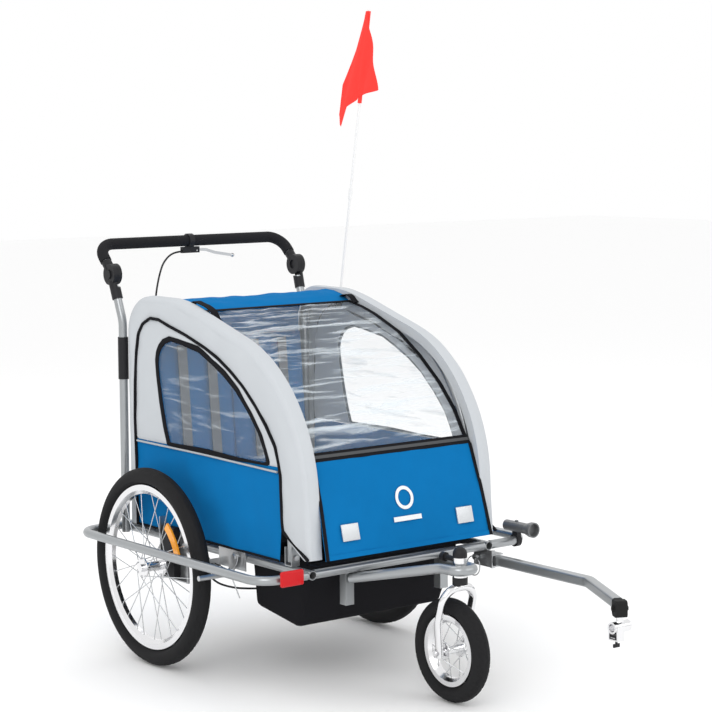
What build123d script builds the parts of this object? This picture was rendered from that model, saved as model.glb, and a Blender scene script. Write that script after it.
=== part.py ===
from build123d import *
import math
import os

# Child bicycle trailer that is also a stroller, in millimetres.
# +Z is up from the ground, the trailer travels towards -Y, and its left side is +X.
# Y is counted from the rear axle here; write() moves it to the origin.

# Base frame
AXLE_TO_ORIGIN = 395.3      # the rear axle lies this far behind the origin
RAIL_X = 271.0              # middle of a side rail
RAIL_Z = 309.0
BASE_FRONT_Y = -560.0       # middle of the front crossbar
BASE_REAR_Y = 262.0         # middle of the rear crossbar
MIDDLE_BAR_Y = -240.0
TUBE_D = 22.0
TUBE_WALL = 1.6
GUARD_X = 409.0             # middle of a wheel guard's outer run
GUARD_BEND = 55.0
RUN_GAP = 0.1               # radial running clearance
FACE_GAP = 0.3              # between faces that pass or meet
PLATE = 3.0
CLOTH = 3.0
BOLT_D = 8.0
BOLT_HEAD = 14.0

# Rear wheels
WHEEL_D = 500.0
TRACK_HALF = 353.0          # middle of a rear tyre from the centre line
TYRE_HALF = 23.0
TYRE_DEPTH = 45.0
RIM_HALF = 13.0
RIM_LIP = 3.0               # height and width of the lips that hold the bead
RIM_DEPTH = 20.0
SPOKES = 28
SPOKE_D = 2.4
FLANGE_HALF = 27.0
FLANGE_D = 52.0
HUB_D = 24.0
AXLE_D = 12.0
AXLE_TIP_X = 276.0          # inner end of a stub axle
AXLE_CAP_X = 389.0          # outer end of a hub

# Wheel brackets
BRACKET_FRONT_Y = -92.0
BRACKET_REAR_Y = 35.0
BRACKET_BOTTOM_Z = 214.0
BRACKET_TOP_Z = 367.0
BRACKET_WEB_X = 282.3
BRACKET_LIP = 25.0
BLOCK_TOP_Z = 345.0

# Brakes
BRAKE_PIVOT = (-285.0, 312.0)   # (Y, Z)
BRAKE_BAR = (-260.5, 266.0)
BRAKE_ANCHOR = (-268.0, 276.0)  # bolt that holds the wire on the arm
BRAKE_BAR_D = 13.0
BRAKE_PLATE_X = 286.0
BRAKE_ARM_X = 292.0
CABLE_D = 5.0
WIRE_D = 2.0
CABLE_STOP_Y = -203.0       # rear face of the tab the cables end in
CABLE_STOP_Z = 284.0
MAIN_CABLE_X = -299.0
CROSS_CABLE_X = -309.0
CABLE_RUN = 48.0            # straight runs between the bends of a cable

# Front wheel, fork and its carrier
FRONT_D = 248.0
FRONT_Y = -748.0
FRONT_TYRE_HALF = 23.0
FRONT_TYRE_DEPTH = 42.0
FRONT_RIM_DEPTH = 16.0
FRONT_RIM_HALF = 14.0
FRONT_SPOKES = 16
FRONT_FLANGE_HALF = 24.0
FRONT_FLANGE_D = 40.0
SWIVEL_Y = -778.0
FORK_D = 19.0
FORK_HALF = 47.0
FORK_FOOT_HALF = 37.0
CROWN_Z = 279.0
CROWN_BEND = 40.0
HEAD_D = 34.0
STEERER_D = 20.0
HEAD_BOTTOM_Z = 303.0
HEAD_TOP_Z = 349.0
CARRIER_D = 24.0
CARRIER_Z = 322.0
POST_X = 145.0
POST_Y = -535.0
POST_SIDE = 24.0
POST_BOTTOM_Z = 217.0
POST_TOP_Z = 306.0
KNOB_D = 22.0
KNOB_Z = 342.0              # swivel lock knob and its pin
PIN_D = 8.0

# Side arches: corners of the cloth's outer profile (Y, Z) and their bends
ARCH_FOOT_Y = -574.0
ARCH_KNEE = (-548.0, 762.0)
ARCH_CROWN = (-23.0, 918.0)
ARCH_HEEL_Y = 209.0
KNEE_BEND = 385.0
CROWN_BEND_R = 400.0
CORNER_BEND = 98.0
ARCH_INSET = 15.3           # from the cloth's outer face to the middle of the arch tube
HINGE_Y = -490.0
HINGE_Z = 340.0
HEM_Z = 326.0
FRONT_HEM_Z = 343.0
BAND_HEM = (-475.0, 398.0)  # where the white band ends behind the front panel
SIDE_X = 286.0              # outer face of the side cloth
CABIN_HALF = 243.0          # half width of the cloth between the arches
WAIST_Z = 553.0             # bottom of the side windows

# Uprights and push bar
UPRIGHT_X = 289.0
UPRIGHT_Y = 228.5
UPRIGHT_KNEE_Z = 850.0
SLEEVE_BOTTOM_Z = 700.0
SLEEVE_TOP_Z = 809.0
SLEEVE_D = 27.0
JOINT_X = 293.0
JOINT = (261.0, 970.0)      # tilt axis of the push bar (Y, Z)
JOINT_D = 55.0
JOINT_HALF = 12.0
BAR = (335.0, 1044.0)       # middle of the push bar's long run (Y, Z)
BAR_BEND = 45.0
BAR_D = 22.0
GRIP_D = 30.0
BUTTON_D = 24.0
BUTTON_TRAVEL = 4.0

# Tow arm and hitch
TOW_X = 290.0
TOW_Z = 272.0
TOW_SIDE = 25.0
TOW_WALL = 2.0
TOW_PIVOT_Y = -562.0
TOW_HEEL = 13.0             # arm behind its pivot bolt
TOW_BEND_Y = -905.0
TOW_END = (183.0, -1108.0)
TOW_BEND = 40.0
LINCH_Y = -530.0
LINCH_Z = 277.0
LINCH_D = 8.0
CLAMP_D = 27.0
CLAMP_LENGTH = 50.0
CLAMP_BORE_D = 18.0
CLAMP_TRAVEL = 4.0
CLAMP_DROP = 50.0           # from the tow arm's middle down to the clamp's middle

# Lamp, reflectors and flag
LAMP_Y = -604.0
LAMP_Z = 343.0
POLE_D = 7.0
POLE_FOOT = (292.0, 75.0, 800.0)
POLE_TOP = (335.0, -24.0, 1652.0)
FLAG_SLEEVE_D = 11.0
FLAG_CORNERS = [(6, 3), (206, 77), (228, 5), (262, -45), (317, -60), (290, -84), (206, -80),
                (95, -30), (6, -6)]         # distance down the pole, and across it


# ------------------------------------------------------------- shape helpers

def box(low, high):
    """A box between two corners."""
    size = [b - a for a, b in zip(low, high)]
    middle = [(a + b) / 2 for a, b in zip(low, high)]
    return Pos(*middle) * Box(*size)


def bar(start, end, diameter, bore=0.0):
    """A straight round bar or tube between two points."""
    start, end = Vector(*start), Vector(*end)
    section = Circle(diameter / 2)
    if bore:
        section = section - Circle(bore / 2)
    return extrude(Plane(origin=start, z_dir=end - start) * section, (end - start).length)


def tube(points, diameter, bends, bore=0.0):
    """A bent round bar or tube along straight runs joined by arcs."""
    path = FilletPolyline(*points, radius=bends)
    section = Circle(diameter / 2)
    if bore:
        section = section - Circle(bore / 2)
    return sweep(Plane(origin=path @ 0, z_dir=path % 0) * section, path=path)


def slab(outline, x0, x1):
    """A closed outline in (Y, Z) given a thickness along X."""
    face = Plane.YZ * make_face(outline)
    return Pos(x0, 0, 0) * extrude(face, x1 - x0)


def outline(points, bends=None):
    """A closed outline of straight sides, with rounded corners where bends are given."""
    if bends is None:
        return Polyline(*points, close=True)
    return FilletPolyline(*points, radius=bends, close=True)


def turned(profile, centre):
    """A ring about an axis along X, from a closed profile of (x, radius)."""
    face = make_face(Polyline(*profile, close=True))
    return Pos(*centre) * revolve(face, axis=Axis.X)


def solids_of(*shapes):
    return [solid for shape in shapes for solid in shape.solids()]


def group(*shapes):
    """Separate solids that share a node."""
    return Compound(children=[Solid(s.wrapped) for s in solids_of(*shapes)])


def mirrored(shape):
    """The same piece on the other side of the trailer."""
    return mirror(shape, about=Plane.YZ)


def both(shape):
    return group(shape, mirrored(shape))


def bolt(head, tip, diameter=BOLT_D, across=BOLT_HEAD, nut=True):
    """A hexagon bolt from its head to its tip."""
    head, tip = Vector(*head), Vector(*tip)
    way = (tip - head).normalized()
    shank = bar(head, tip, diameter)
    cap = extrude(Plane(origin=head, z_dir=-way) * RegularPolygon(across / 2, 6), 5)
    shape = shank + cap
    if nut:
        shape += extrude(Plane(origin=tip - way * 7, z_dir=way) * RegularPolygon(across / 2, 6), 6)
    return shape


BORE = TUBE_D - 2 * TUBE_WALL


# ---------------------------------------------------------------- base frame

LEG_Y = ARCH_HEEL_Y - ARCH_INSET        # rear leg of an arch
RAIL_TOP_Z = RAIL_Z + TUBE_D / 2
CHEEK_IN = TUBE_D / 2 + 0.5
CHEEK_OUT = CHEEK_IN + 2.5
BRACKET_HALF = 11.7
HINGE_BRACKET_TOP = HINGE_Z + 24


def hinge_bracket(y):
    """Two cheeks on a foot, welded on the rail, with the arch's hinge bolt through them."""
    low = RAIL_TOP_Z
    shape = box((-RAIL_X - BRACKET_HALF, y - CHEEK_OUT, low),
                (-RAIL_X + BRACKET_HALF, y + CHEEK_OUT, low + 2.5))
    for side in (-1, 1):
        inner, outer = y + side * CHEEK_IN, y + side * CHEEK_OUT
        shape += box((-RAIL_X - BRACKET_HALF, min(inner, outer), low),
                     (-RAIL_X + BRACKET_HALF, max(inner, outer), HINGE_BRACKET_TOP))
    hole = bar((-RAIL_X, y - 20, HINGE_Z), (-RAIL_X, y + 20, HINGE_Z), BOLT_D + 2 * RUN_GAP)
    return shape - hole


def base_frame():
    """Rails, crossbars and hinge brackets: one welded steel frame."""
    rail = bar((-RAIL_X, BASE_REAR_Y + TUBE_D / 2, RAIL_Z),
               (-RAIL_X, BASE_FRONT_Y - TUBE_D / 2, RAIL_Z), TUBE_D, BORE)
    reach = RAIL_X - TUBE_D / 2
    crossbars = [bar((-reach, y, RAIL_Z), (reach, y, RAIL_Z), TUBE_D, BORE)
                 for y in (BASE_FRONT_Y, MIDDLE_BAR_Y, BASE_REAR_Y)]
    brackets = [both(hinge_bracket(y)) for y in (HINGE_Y, LEG_Y)]
    return group(both(rail), *crossbars, *brackets)


def guard_tube(diameter, bore=0.0):
    """The run of the right wheel guard at any diameter."""
    inner = -RAIL_X - TUBE_D / 2
    points = [(inner, BASE_REAR_Y, RAIL_Z), (-GUARD_X, BASE_REAR_Y, RAIL_Z),
              (-GUARD_X, BASE_FRONT_Y, RAIL_Z), (inner, BASE_FRONT_Y, RAIL_Z)]
    return tube(points, diameter, [GUARD_BEND, GUARD_BEND], bore)


def wheel_guards():
    """A bent tube round the outside of each rear wheel, ends held at the rails."""
    return both(guard_tube(TUBE_D, BORE))


def wheel_brackets():
    """A pressed channel bolted to each rail, open at the top, that carries the axle block."""
    web, lip = -BRACKET_WEB_X, -BRACKET_WEB_X - BRACKET_LIP
    shape = box((web - PLATE, BRACKET_FRONT_Y, BRACKET_BOTTOM_Z), (web, BRACKET_REAR_Y, BRACKET_TOP_Z))
    for edge in (BRACKET_FRONT_Y, BRACKET_REAR_Y - PLATE):
        shape += box((lip, edge, BRACKET_BOTTOM_Z), (web, edge + PLATE, BRACKET_TOP_Z))
    shape += box((lip, BRACKET_FRONT_Y, BRACKET_BOTTOM_Z), (web, BRACKET_REAR_Y, BRACKET_BOTTOM_Z + PLATE))
    shape -= axle_hole()
    for y, z in BRACKET_BOLTS:
        shape -= bar((web - 10, y, z), (web + 10, y, z), BOLT_D + 2 * RUN_GAP)
    return both(shape)


AXLE_HALL = AXLE_D + 2 * RUN_GAP
BRACKET_BOLTS = ((-42.0, RAIL_Z + 20.0), (-50.0, RAIL_Z - 7.0))
BLOCK_Y = (-26.0, 26.0)


def axle_hole():
    return bar((-320, 0, WHEEL_D / 2), (-260, 0, WHEEL_D / 2), AXLE_HALL)


def axle_blocks():
    """The black block in each bracket whose bore takes the wheel's stub axle."""
    outer = -BRACKET_WEB_X - BRACKET_LIP + 3
    shape = box((outer, BLOCK_Y[0], BRACKET_BOTTOM_Z + PLATE),
                (-BRACKET_WEB_X - PLATE, BLOCK_Y[1], BLOCK_TOP_Z))
    return both(shape - axle_hole())


def frame_bolts():
    """Hinge bolts, bracket bolts and brake pivot bolts."""
    bolts = [bolt((-RAIL_X, y - CHEEK_OUT, HINGE_Z), (-RAIL_X, y + CHEEK_OUT + 7, HINGE_Z))
             for y in (HINGE_Y, LEG_Y)]
    web = -BRACKET_WEB_X - PLATE
    for y, z in BRACKET_BOLTS:
        bolts.append(bolt((web, y, z), (-BRACKET_WEB_X, y, z), nut=False))
    y, z = BRAKE_PIVOT
    bolts.append(bolt((-BRAKE_ARM_X - PLATE - FACE_GAP, y, z), (-BRAKE_PLATE_X + PLATE, y, z), nut=False))
    return both(group(*bolts))


# --------------------------------------------------------------- rear wheels

def tyre(centre, radius, depth, half, rim_half):
    """A tyre with a rounded tread and a bead that sits between the lips of its rim."""
    middle = radius - depth / 2
    profile = [(half * math.cos(math.radians(a)), middle + depth / 2 * math.sin(math.radians(a)))
               for a in range(-40, 221, 20)]
    neck = rim_half - RIM_LIP - FACE_GAP
    bead = radius - depth
    profile += [(-neck, bead + 4), (-neck, bead), (neck, bead), (neck, bead + 4)]
    return turned(profile, centre)


def rim(centre, outer, depth, half):
    """A rolled rim: a shallow channel with two raised lips."""
    inner = outer - depth
    profile = [(-half, outer + RIM_LIP), (-half + 2, outer + RIM_LIP), (-half + RIM_LIP, outer),
               (half - RIM_LIP, outer), (half - 2, outer + RIM_LIP), (half, outer + RIM_LIP),
               (half, outer - depth * 0.55),
               (half * 0.45, inner), (-half * 0.45, inner), (-half, outer - depth * 0.55)]
    return turned(profile, centre)


def spokes(centre, count, hub_r, rim_r, flange_half, diameter, lead):
    """Straight wire spokes from both hub flanges to the rim, each pair crossing."""
    cx, cy, cz = centre
    wires = []
    offset = 1.5 + diameter / 2 + 1.3
    for i in range(count):
        side = 1 if i % 2 else -1
        turn = 1 if (i // 2) % 2 else -1
        rim_angle = 2 * math.pi * i / count
        hub_angle = rim_angle + turn * math.radians(lead)
        start = (cx + side * (flange_half + turn * offset), cy + hub_r * math.cos(hub_angle), cz + hub_r * math.sin(hub_angle))
        end = (cx + side * 2.5, cy + rim_r * math.cos(rim_angle), cz + rim_r * math.sin(rim_angle))
        wires.append(bar(start, end, diameter))
    return wires


RIM_OUTER = WHEEL_D / 2 - TYRE_DEPTH - FACE_GAP
WHEEL_CENTRE = (-TRACK_HALF, 0.0, WHEEL_D / 2)


def rear_hub():
    """Hub shell with two flanges, outer cap, cone nut and the stub axle."""
    x, y, z = WHEEL_CENTRE
    shape = bar((x - FLANGE_HALF, y, z), (x + FLANGE_HALF, y, z), HUB_D)
    for side in (-1, 1):
        mid = x + side * FLANGE_HALF
        shape += bar((mid - 1.5, y, z), (mid + 1.5, y, z), FLANGE_D)
    shape += bar((-AXLE_CAP_X, y, z), (x - FLANGE_HALF, y, z), 20)
    shape += bar((x + FLANGE_HALF, y, z), (x + FLANGE_HALF + 10, y, z), 20)
    shape += bar((x, y, z), (-AXLE_TIP_X, y, z), AXLE_D)
    return shape


def spoke_reflector():
    """A long curved reflector clipped across the spokes near the rim."""
    x, y, z = WHEEL_CENTRE
    mid_r, half_w, half_a = 150.0, 10.0, 17.0
    sweep_mid = 30.0
    a0, a1 = math.radians(sweep_mid + 115 - half_a), math.radians(sweep_mid + 115 + half_a)
    points = []
    for r, first, last in ((mid_r + half_w, a0, a1), (mid_r - half_w, a1, a0)):
        for t in (0, 0.25, 0.5, 0.75, 1.0):
            a = first + (last - first) * t
            points.append((y + r * math.cos(a), z + r * math.sin(a)))
    return slab(Polyline(*points, close=True), x - 16.5, x - 11.5)


# --------------------------------------------------------------- front wheel

FRONT_CENTRE = (0.0, FRONT_Y, FRONT_D / 2)
FRONT_RIM_OUTER = FRONT_D / 2 - FRONT_TYRE_DEPTH - FACE_GAP


def front_hub():
    """Front hub shell with its flanges; it turns on the fork's axle bolt."""
    x, y, z = FRONT_CENTRE
    shape = bar((-FRONT_FLANGE_HALF - 3, y, z), (FRONT_FLANGE_HALF + 3, y, z), 18)
    for side in (-1, 1):
        mid = side * FRONT_FLANGE_HALF
        shape += bar((mid - 1.5, y, z), (mid + 1.5, y, z), FRONT_FLANGE_D)
    return shape - bar((-60, y, z), (60, y, z), 10 + 2 * RUN_GAP)


def fork():
    """A bent tube fork with its steerer and the axle bolt through its feet."""
    foot_z = FRONT_D / 2
    half = [(0, SWIVEL_Y, CROWN_Z), (-FORK_HALF, SWIVEL_Y, CROWN_Z), (-FORK_HALF, FRONT_Y - 6, 195),
            (-FORK_FOOT_HALF, FRONT_Y, foot_z - 12)]
    points = half[:0:-1] + [(-x, y, z) for x, y, z in half[1:]]
    shape = tube(points, FORK_D, [70, CROWN_BEND, CROWN_BEND, 70])
    shape += bar((0, SWIVEL_Y, CROWN_Z), (0, SWIVEL_Y, HEAD_TOP_Z - 4), STEERER_D - 2 * RUN_GAP)
    reach = FORK_FOOT_HALF + FORK_D / 2 + 8
    shape += bar((-reach, FRONT_Y, foot_z), (reach, FRONT_Y, foot_z), 10)
    for side in (-1, 1):
        face = side * (FORK_FOOT_HALF + FORK_D / 2 - 1)
        nut = Plane(origin=(face, FRONT_Y, foot_z), x_dir=(0, 1, 0), z_dir=(side, 0, 0))
        shape += extrude(nut * RegularPolygon(8.5, 6), 7)
    return shape


def fork_cap():
    """The black lower cup that turns with the fork under the head tube."""
    low, high = CROWN_Z + FORK_D / 2 - 3, HEAD_BOTTOM_Z - FACE_GAP
    cup = bar((0, SWIVEL_Y, low), (0, SWIVEL_Y, high), HEAD_D + 2, STEERER_D)
    clear = tube([(-FORK_HALF, SWIVEL_Y, CROWN_Z - 60), (-FORK_HALF, SWIVEL_Y, CROWN_Z),
                  (FORK_HALF, SWIVEL_Y, CROWN_Z), (FORK_HALF, SWIVEL_Y, CROWN_Z - 60)],
                 FORK_D + 0.2, [CROWN_BEND, CROWN_BEND])
    return cup - clear




def head_tube():
    """The swivel's head tube with a collar at each end."""
    shape = bar((0, SWIVEL_Y, HEAD_BOTTOM_Z), (0, SWIVEL_Y, HEAD_TOP_Z), HEAD_D - 4)
    for low, high in ((HEAD_BOTTOM_Z, HEAD_BOTTOM_Z + 6), (HEAD_TOP_Z - 13, HEAD_TOP_Z)):
        shape += bar((0, SWIVEL_Y, low), (0, SWIVEL_Y, high), HEAD_D)
    shape -= bar((0, SWIVEL_Y, HEAD_BOTTOM_Z - 5), (0, SWIVEL_Y, HEAD_TOP_Z + 5), STEERER_D)
    back = SWIVEL_Y + HEAD_D / 2
    shape -= bar((0, SWIVEL_Y + STEERER_D / 2, KNOB_Z), (0, back + 10, KNOB_Z), PIN_D + 2 * RUN_GAP)
    return shape


def head_cap():
    """A black domed cap pressed over the head tube."""
    flat = HEAD_TOP_Z + 8
    dome = Pos(0, SWIVEL_Y, flat) * Sphere(HEAD_D / 2)
    dome = dome & box((-HEAD_D, SWIVEL_Y - HEAD_D, flat), (HEAD_D, SWIVEL_Y + HEAD_D, flat + HEAD_D))
    return dome + bar((0, SWIVEL_Y, HEAD_TOP_Z), (0, SWIVEL_Y, flat), HEAD_D)


def swivel_lock():
    """A pull knob on a pin that stops the front wheel from swivelling."""
    z = KNOB_Z
    tip = SWIVEL_Y + STEERER_D / 2 + 0.5
    face = SWIVEL_Y + HEAD_D / 2
    return (bar((0, tip, z), (0, face + 46, z), PIN_D)
            + bar((0, face + 1, z), (0, face + 34, z), 13)
            + bar((0, face + 34, z), (0, face + 46, z), KNOB_D))


def wheel_support():
    """A tube bent round the head tube, with a square post at each end under the base."""
    nose = HEAD_D / 2 + CARRIER_D / 2 - 1.5
    post_face = POST_Y - POST_SIDE / 2
    reach = 33.0
    points = [(-POST_X, post_face, CARRIER_Z - 40), (-nose - 4, SWIVEL_Y + reach, CARRIER_Z),
              (-nose + 2, SWIVEL_Y - nose, CARRIER_Z), (nose - 2, SWIVEL_Y - nose, CARRIER_Z),
              (nose + 4, SWIVEL_Y + reach, CARRIER_Z), (POST_X, post_face, CARRIER_Z - 40)]
    loop = tube(points, CARRIER_D, [60, 24, 24, 60]) - bar(
        (0, SWIVEL_Y, HEAD_BOTTOM_Z), (0, SWIVEL_Y, HEAD_TOP_Z), HEAD_D + 0.2)
    post = box((-POST_X - POST_SIDE / 2, POST_Y - POST_SIDE / 2, POST_BOTTOM_Z),
               (-POST_X + POST_SIDE / 2, POST_Y + POST_SIDE / 2, POST_TOP_Z))
    clear = bar((-POST_X - 30, BASE_FRONT_Y, RAIL_Z), (-POST_X + 30, BASE_FRONT_Y, RAIL_Z), TUBE_D + 0.2)
    post = post - clear
    return group(loop - both(post), both(post))


# --------------------------------------------------------------- side arches

def profile_points(inset, foot_z, heel_z):
    """Corners of the arch's side profile, moved inwards by an inset."""
    (knee_y, knee_z), (crown_y, crown_z) = ARCH_KNEE, ARCH_CROWN
    return [(ARCH_FOOT_Y + inset, foot_z), (knee_y + inset, knee_z - inset * 0.74),
            (crown_y - inset * 0.15, crown_z - inset), (ARCH_HEEL_Y - inset, crown_z - inset),
            (ARCH_HEEL_Y - inset, heel_z)]


def profile_bends(inset):
    return [KNEE_BEND - inset, CROWN_BEND_R - inset, CORNER_BEND - inset]


def arch():
    """One steel hoop of the folding frame, from its front hinge over to its rear hinge."""
    foot = HINGE_Z - 10
    _, knee, crown, corner, heel = profile_points(ARCH_INSET, foot, foot)
    path = [(HINGE_Y, foot), (HINGE_Y, foot + 90), knee, crown, corner, heel]
    shape = tube([(-RAIL_X, y, z) for y, z in path], TUBE_D, [200] + profile_bends(ARCH_INSET), BORE)
    for y in (HINGE_Y, LEG_Y):
        shape -= bar((-RAIL_X, y - 20, HINGE_Z), (-RAIL_X, y + 20, HINGE_Z), BOLT_D + 2 * RUN_GAP)
    return shape


WINDOW = ((12.0, WAIST_Z), (68.0, 826.0), (-110.0, 806.0), (-294.0, 722.0), (-424.0, WAIST_Z))
WINDOW_GAP = 0.5
NOTCH_GAP = 0.5             # cloth to the wheel bracket it is cut round
LIP_DEPTH = 60.0            # how far the band's inner edge comes down inside the arch


def window_outline(inset):
    """The D-shaped side window: a straight back and sill, and a curved front."""
    back, top, shoulder, brow, front = WINDOW
    low = back[1] + inset
    back_edge = Line((back[0] - inset * 1.3, low), (top[0] - inset, top[1] - inset))
    roof_edge = Line(back_edge @ 1, (shoulder[0], shoulder[1] - inset))
    front_edge = ThreePointArc(roof_edge @ 1, (brow[0] + inset * 0.7, brow[1] - inset * 0.7),
                               (front[0] + inset * 1.3, low))
    return Wire([back_edge, roof_edge, front_edge, Line(front_edge @ 1, back_edge @ 0)])


def side_face(inset):
    """The whole side of the body as a face in (Y, Z)."""
    foot, knee, crown, corner, heel = profile_points(inset, FRONT_HEM_Z, HEM_Z)
    lower = [(HINGE_Y + 30, HEM_Z), (BAND_HEM[0], BAND_HEM[1])]
    bends = profile_bends(inset)
    upper = FilletPolyline(foot, knee, crown, corner, heel, radius=bends)
    return make_face(Wire([*upper.edges(), *Polyline(heel, *lower, foot).edges()]))


def side_cover():
    """Cloth side with its window frame, and the white band that wraps over the arch."""
    outer = side_face(0.0)
    plate = outer - make_face(window_outline(0.0))
    shape = Pos(-SIDE_X, 0, 0) * extrude(Plane.YZ * plate, CLOTH)
    shape -= box((-SIDE_X - 5, BRACKET_FRONT_Y - NOTCH_GAP, 0),
                 (-SIDE_X + 10, BRACKET_REAR_Y + NOTCH_GAP, BRACKET_TOP_Z + NOTCH_GAP))
    shape -= box((-SIDE_X - 5, LEG_Y - CHEEK_OUT - NOTCH_GAP, 0),
                 (-SIDE_X + 10, ARCH_HEEL_Y + 1, HINGE_BRACKET_TOP + 1.5))
    ring = outer - side_face(CLOTH)
    keep = outline([(-700, FRONT_HEM_Z + 60), (-400, FRONT_HEM_Z + 60), (-300, 700), (-100, 800),
                    (110, 800), (110, 1000), (-700, 1000)])
    band = ring & make_face(keep)
    band_inner = CABIN_HALF + CLOTH + FACE_GAP
    shape += Pos(-SIDE_X, 0, 0) * extrude(Plane.YZ * band, SIDE_X - band_inner)
    lip = (outer - side_face(LIP_DEPTH)) & make_face(keep)
    shape += Pos(-band_inner, 0, 0) * extrude(Plane.YZ * lip, CLOTH)
    window = Pos(-SIDE_X, 0, 0) * extrude(Plane.YZ * make_face(window_outline(WINDOW_GAP)), 2)
    return group(shape, window)


# ------------------------------------------------------- cloth between sides

COVER_TOP = (-45.0, 884.0)
COVER_MID = (-345.0, 766.0)
COVER_LOW = (-526.0, 570.0)
PANEL_TOP = (-531.0, 562.0)
PANEL_MID = (-566.0, 470.0)
PANEL_LOW = (-597.0, FRONT_HEM_Z)


def sheet(line, thickness, half_width):
    """A thick strip of cloth that follows a line in (Y, Z) and spans the cabin."""
    face = make_face(Wire([*line.edges(), *thickened(line, thickness)]))
    return Pos(-half_width, 0, 0) * extrude(Plane.YZ * face, 2 * half_width)


def thickened(line, thickness):
    """The far side and the two ends of a strip as thick as the cloth."""
    back = [(p.X, p.Y - thickness) for p in (line @ t for t in (0, 0.25, 0.5, 0.75, 1))]
    curve = Spline(*back)
    return [Line(line @ 0, back[0]), *curve.edges(), Line(back[-1], line @ 1)]


def front_cover():
    """The see-through front window with its cloth border, from the roof seam to the front panel."""
    line = ThreePointArc(COVER_TOP, COVER_MID, COVER_LOW)
    return sheet(line, CLOTH + 1, CABIN_HALF)


def front_panel():
    """The blue cloth apron below the front window."""
    (y0, z0), (y1, z1), (y2, z2) = PANEL_TOP, PANEL_MID, PANEL_LOW
    depth = CLOTH + 1
    points = [(y0, z0), (y1, z1), (y2, z2), (y2 + depth, z2), (y1 + depth, z1), (y0 + depth, z0)]
    return slab(outline(points), -CABIN_HALF, CABIN_HALF)




def roof():
    """The blue roof cloth, from the front seam over the crown and down at the back."""
    line = ThreePointArc((COVER_TOP[0] + 4, COVER_TOP[1] + 6), (90.0, 908.0), (183.0, 850.0))
    return sheet(line, CLOTH, CABIN_HALF)


def rear_panel():
    """The cloth back with its storage pocket."""
    back = box((-CABIN_HALF, BACK_Y, HEM_Z), (CABIN_HALF, BACK_Y + CLOTH, 845))
    pocket = box((-190, BACK_Y + CLOTH, 420), (190, BACK_Y + 24, 600))
    return back + pocket


FLOOR_Z = RAIL_TOP_Z + 0.5
WELL_REAR_Y = -255.0
WELL_FRONT_Y = -505.0
WELL_HALF = 228.0


def floor_pan():
    """The floor cloth over the rails and the foot well that hangs between them."""
    rear = box((-248, WELL_REAR_Y - CLOTH, FLOOR_Z), (248, LEG_Y - 40, FLOOR_Z + CLOTH))
    outer = [(WELL_REAR_Y, FLOOR_Z + CLOTH), (WELL_REAR_Y - 8, 178), (-345, 158), (-432, 150),
             (-452, 163), (WELL_FRONT_Y, 296), (-512, FLOOR_Z + CLOTH)]
    wall = CLOTH + 1
    inner = [(WELL_REAR_Y - wall, FLOOR_Z + 20), (WELL_REAR_Y - 8 - wall, 178 + wall), (-345, 158 + wall),
             (-430, 150 + wall), (-449, 165 + wall), (WELL_FRONT_Y + wall, 296), (-508, FLOOR_Z + 20)]
    well = slab(outline(outer), -WELL_HALF, WELL_HALF)
    well -= slab(outline(inner), -WELL_HALF + wall, WELL_HALF - wall)
    nose = box((-248, -552, FLOOR_Z), (248, -508, FLOOR_Z + CLOTH))
    return well + rear + nose


SEAT_Z = 425.0
SEAT_FRONT_Y = -110.0
SEAT_HALF = 235.0
BACK_Y = 180.0              # front face of the rear panel
REST_TOP_Z = 800.0
REST_THICK = 25.0
REST_FOOT_Y = 118.0         # front of the back rest at the bench
BELT = 1.5


def rest_front(z):
    """How far back the front face of the back rest is at a height."""
    top_y = BACK_Y - FACE_GAP - REST_THICK
    return REST_FOOT_Y + (top_y - REST_FOOT_Y) * (z - SEAT_Z) / (REST_TOP_Z - SEAT_Z)


def seat():
    """A padded bench and a padded back hung between the arches."""
    base = box((-SEAT_HALF, SEAT_FRONT_Y, SEAT_Z), (SEAT_HALF, REST_FOOT_Y - FACE_GAP, SEAT_Z + 26))
    low, high = (rest_front(SEAT_Z), SEAT_Z), (rest_front(REST_TOP_Z), REST_TOP_Z)
    rest = slab(outline([low, high, (high[0] + REST_THICK, high[1]), (low[0] + REST_THICK, low[1])]),
                -SEAT_HALF, SEAT_HALF)
    return group(base, rest)


def harness():
    """Shoulder belts down the front of the back rest, two for each child."""
    belts = []
    front = [(rest_front(z) - FACE_GAP, z) for z in (490, 780)]
    strip = outline([front[0], front[1], (front[1][0] - BELT, 780), (front[0][0] - BELT, 490)])
    for child in (-1, 1):
        for side in (-1, 1):
            x = child * 115 + side * 45
            belts.append(slab(strip, x - 14, x + 14))
    return group(*belts)


# --------------------------------------------------------- uprights and bar

JOINT_Y, JOINT_Z = JOINT


UPRIGHT_FOOT = Vector(-UPRIGHT_X, UPRIGHT_Y, RAIL_Z - TUBE_D / 2)
UPRIGHT_KNEE = Vector(-UPRIGHT_X, UPRIGHT_Y - 6, UPRIGHT_KNEE_Z)
UPRIGHT_END = Vector(-JOINT_X, JOINT_Y - 10, JOINT_Z - 32)


def rear_uprights():
    """The two tubes that rise from the rear rail ends to the push bar's joints."""
    points = [UPRIGHT_FOOT, UPRIGHT_KNEE, UPRIGHT_END]
    rail = bar((-RAIL_X, 0, RAIL_Z), (-RAIL_X, 300, RAIL_Z), TUBE_D + 0.2)
    return both(tube(points, TUBE_D, [90], BORE) - rail)


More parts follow.
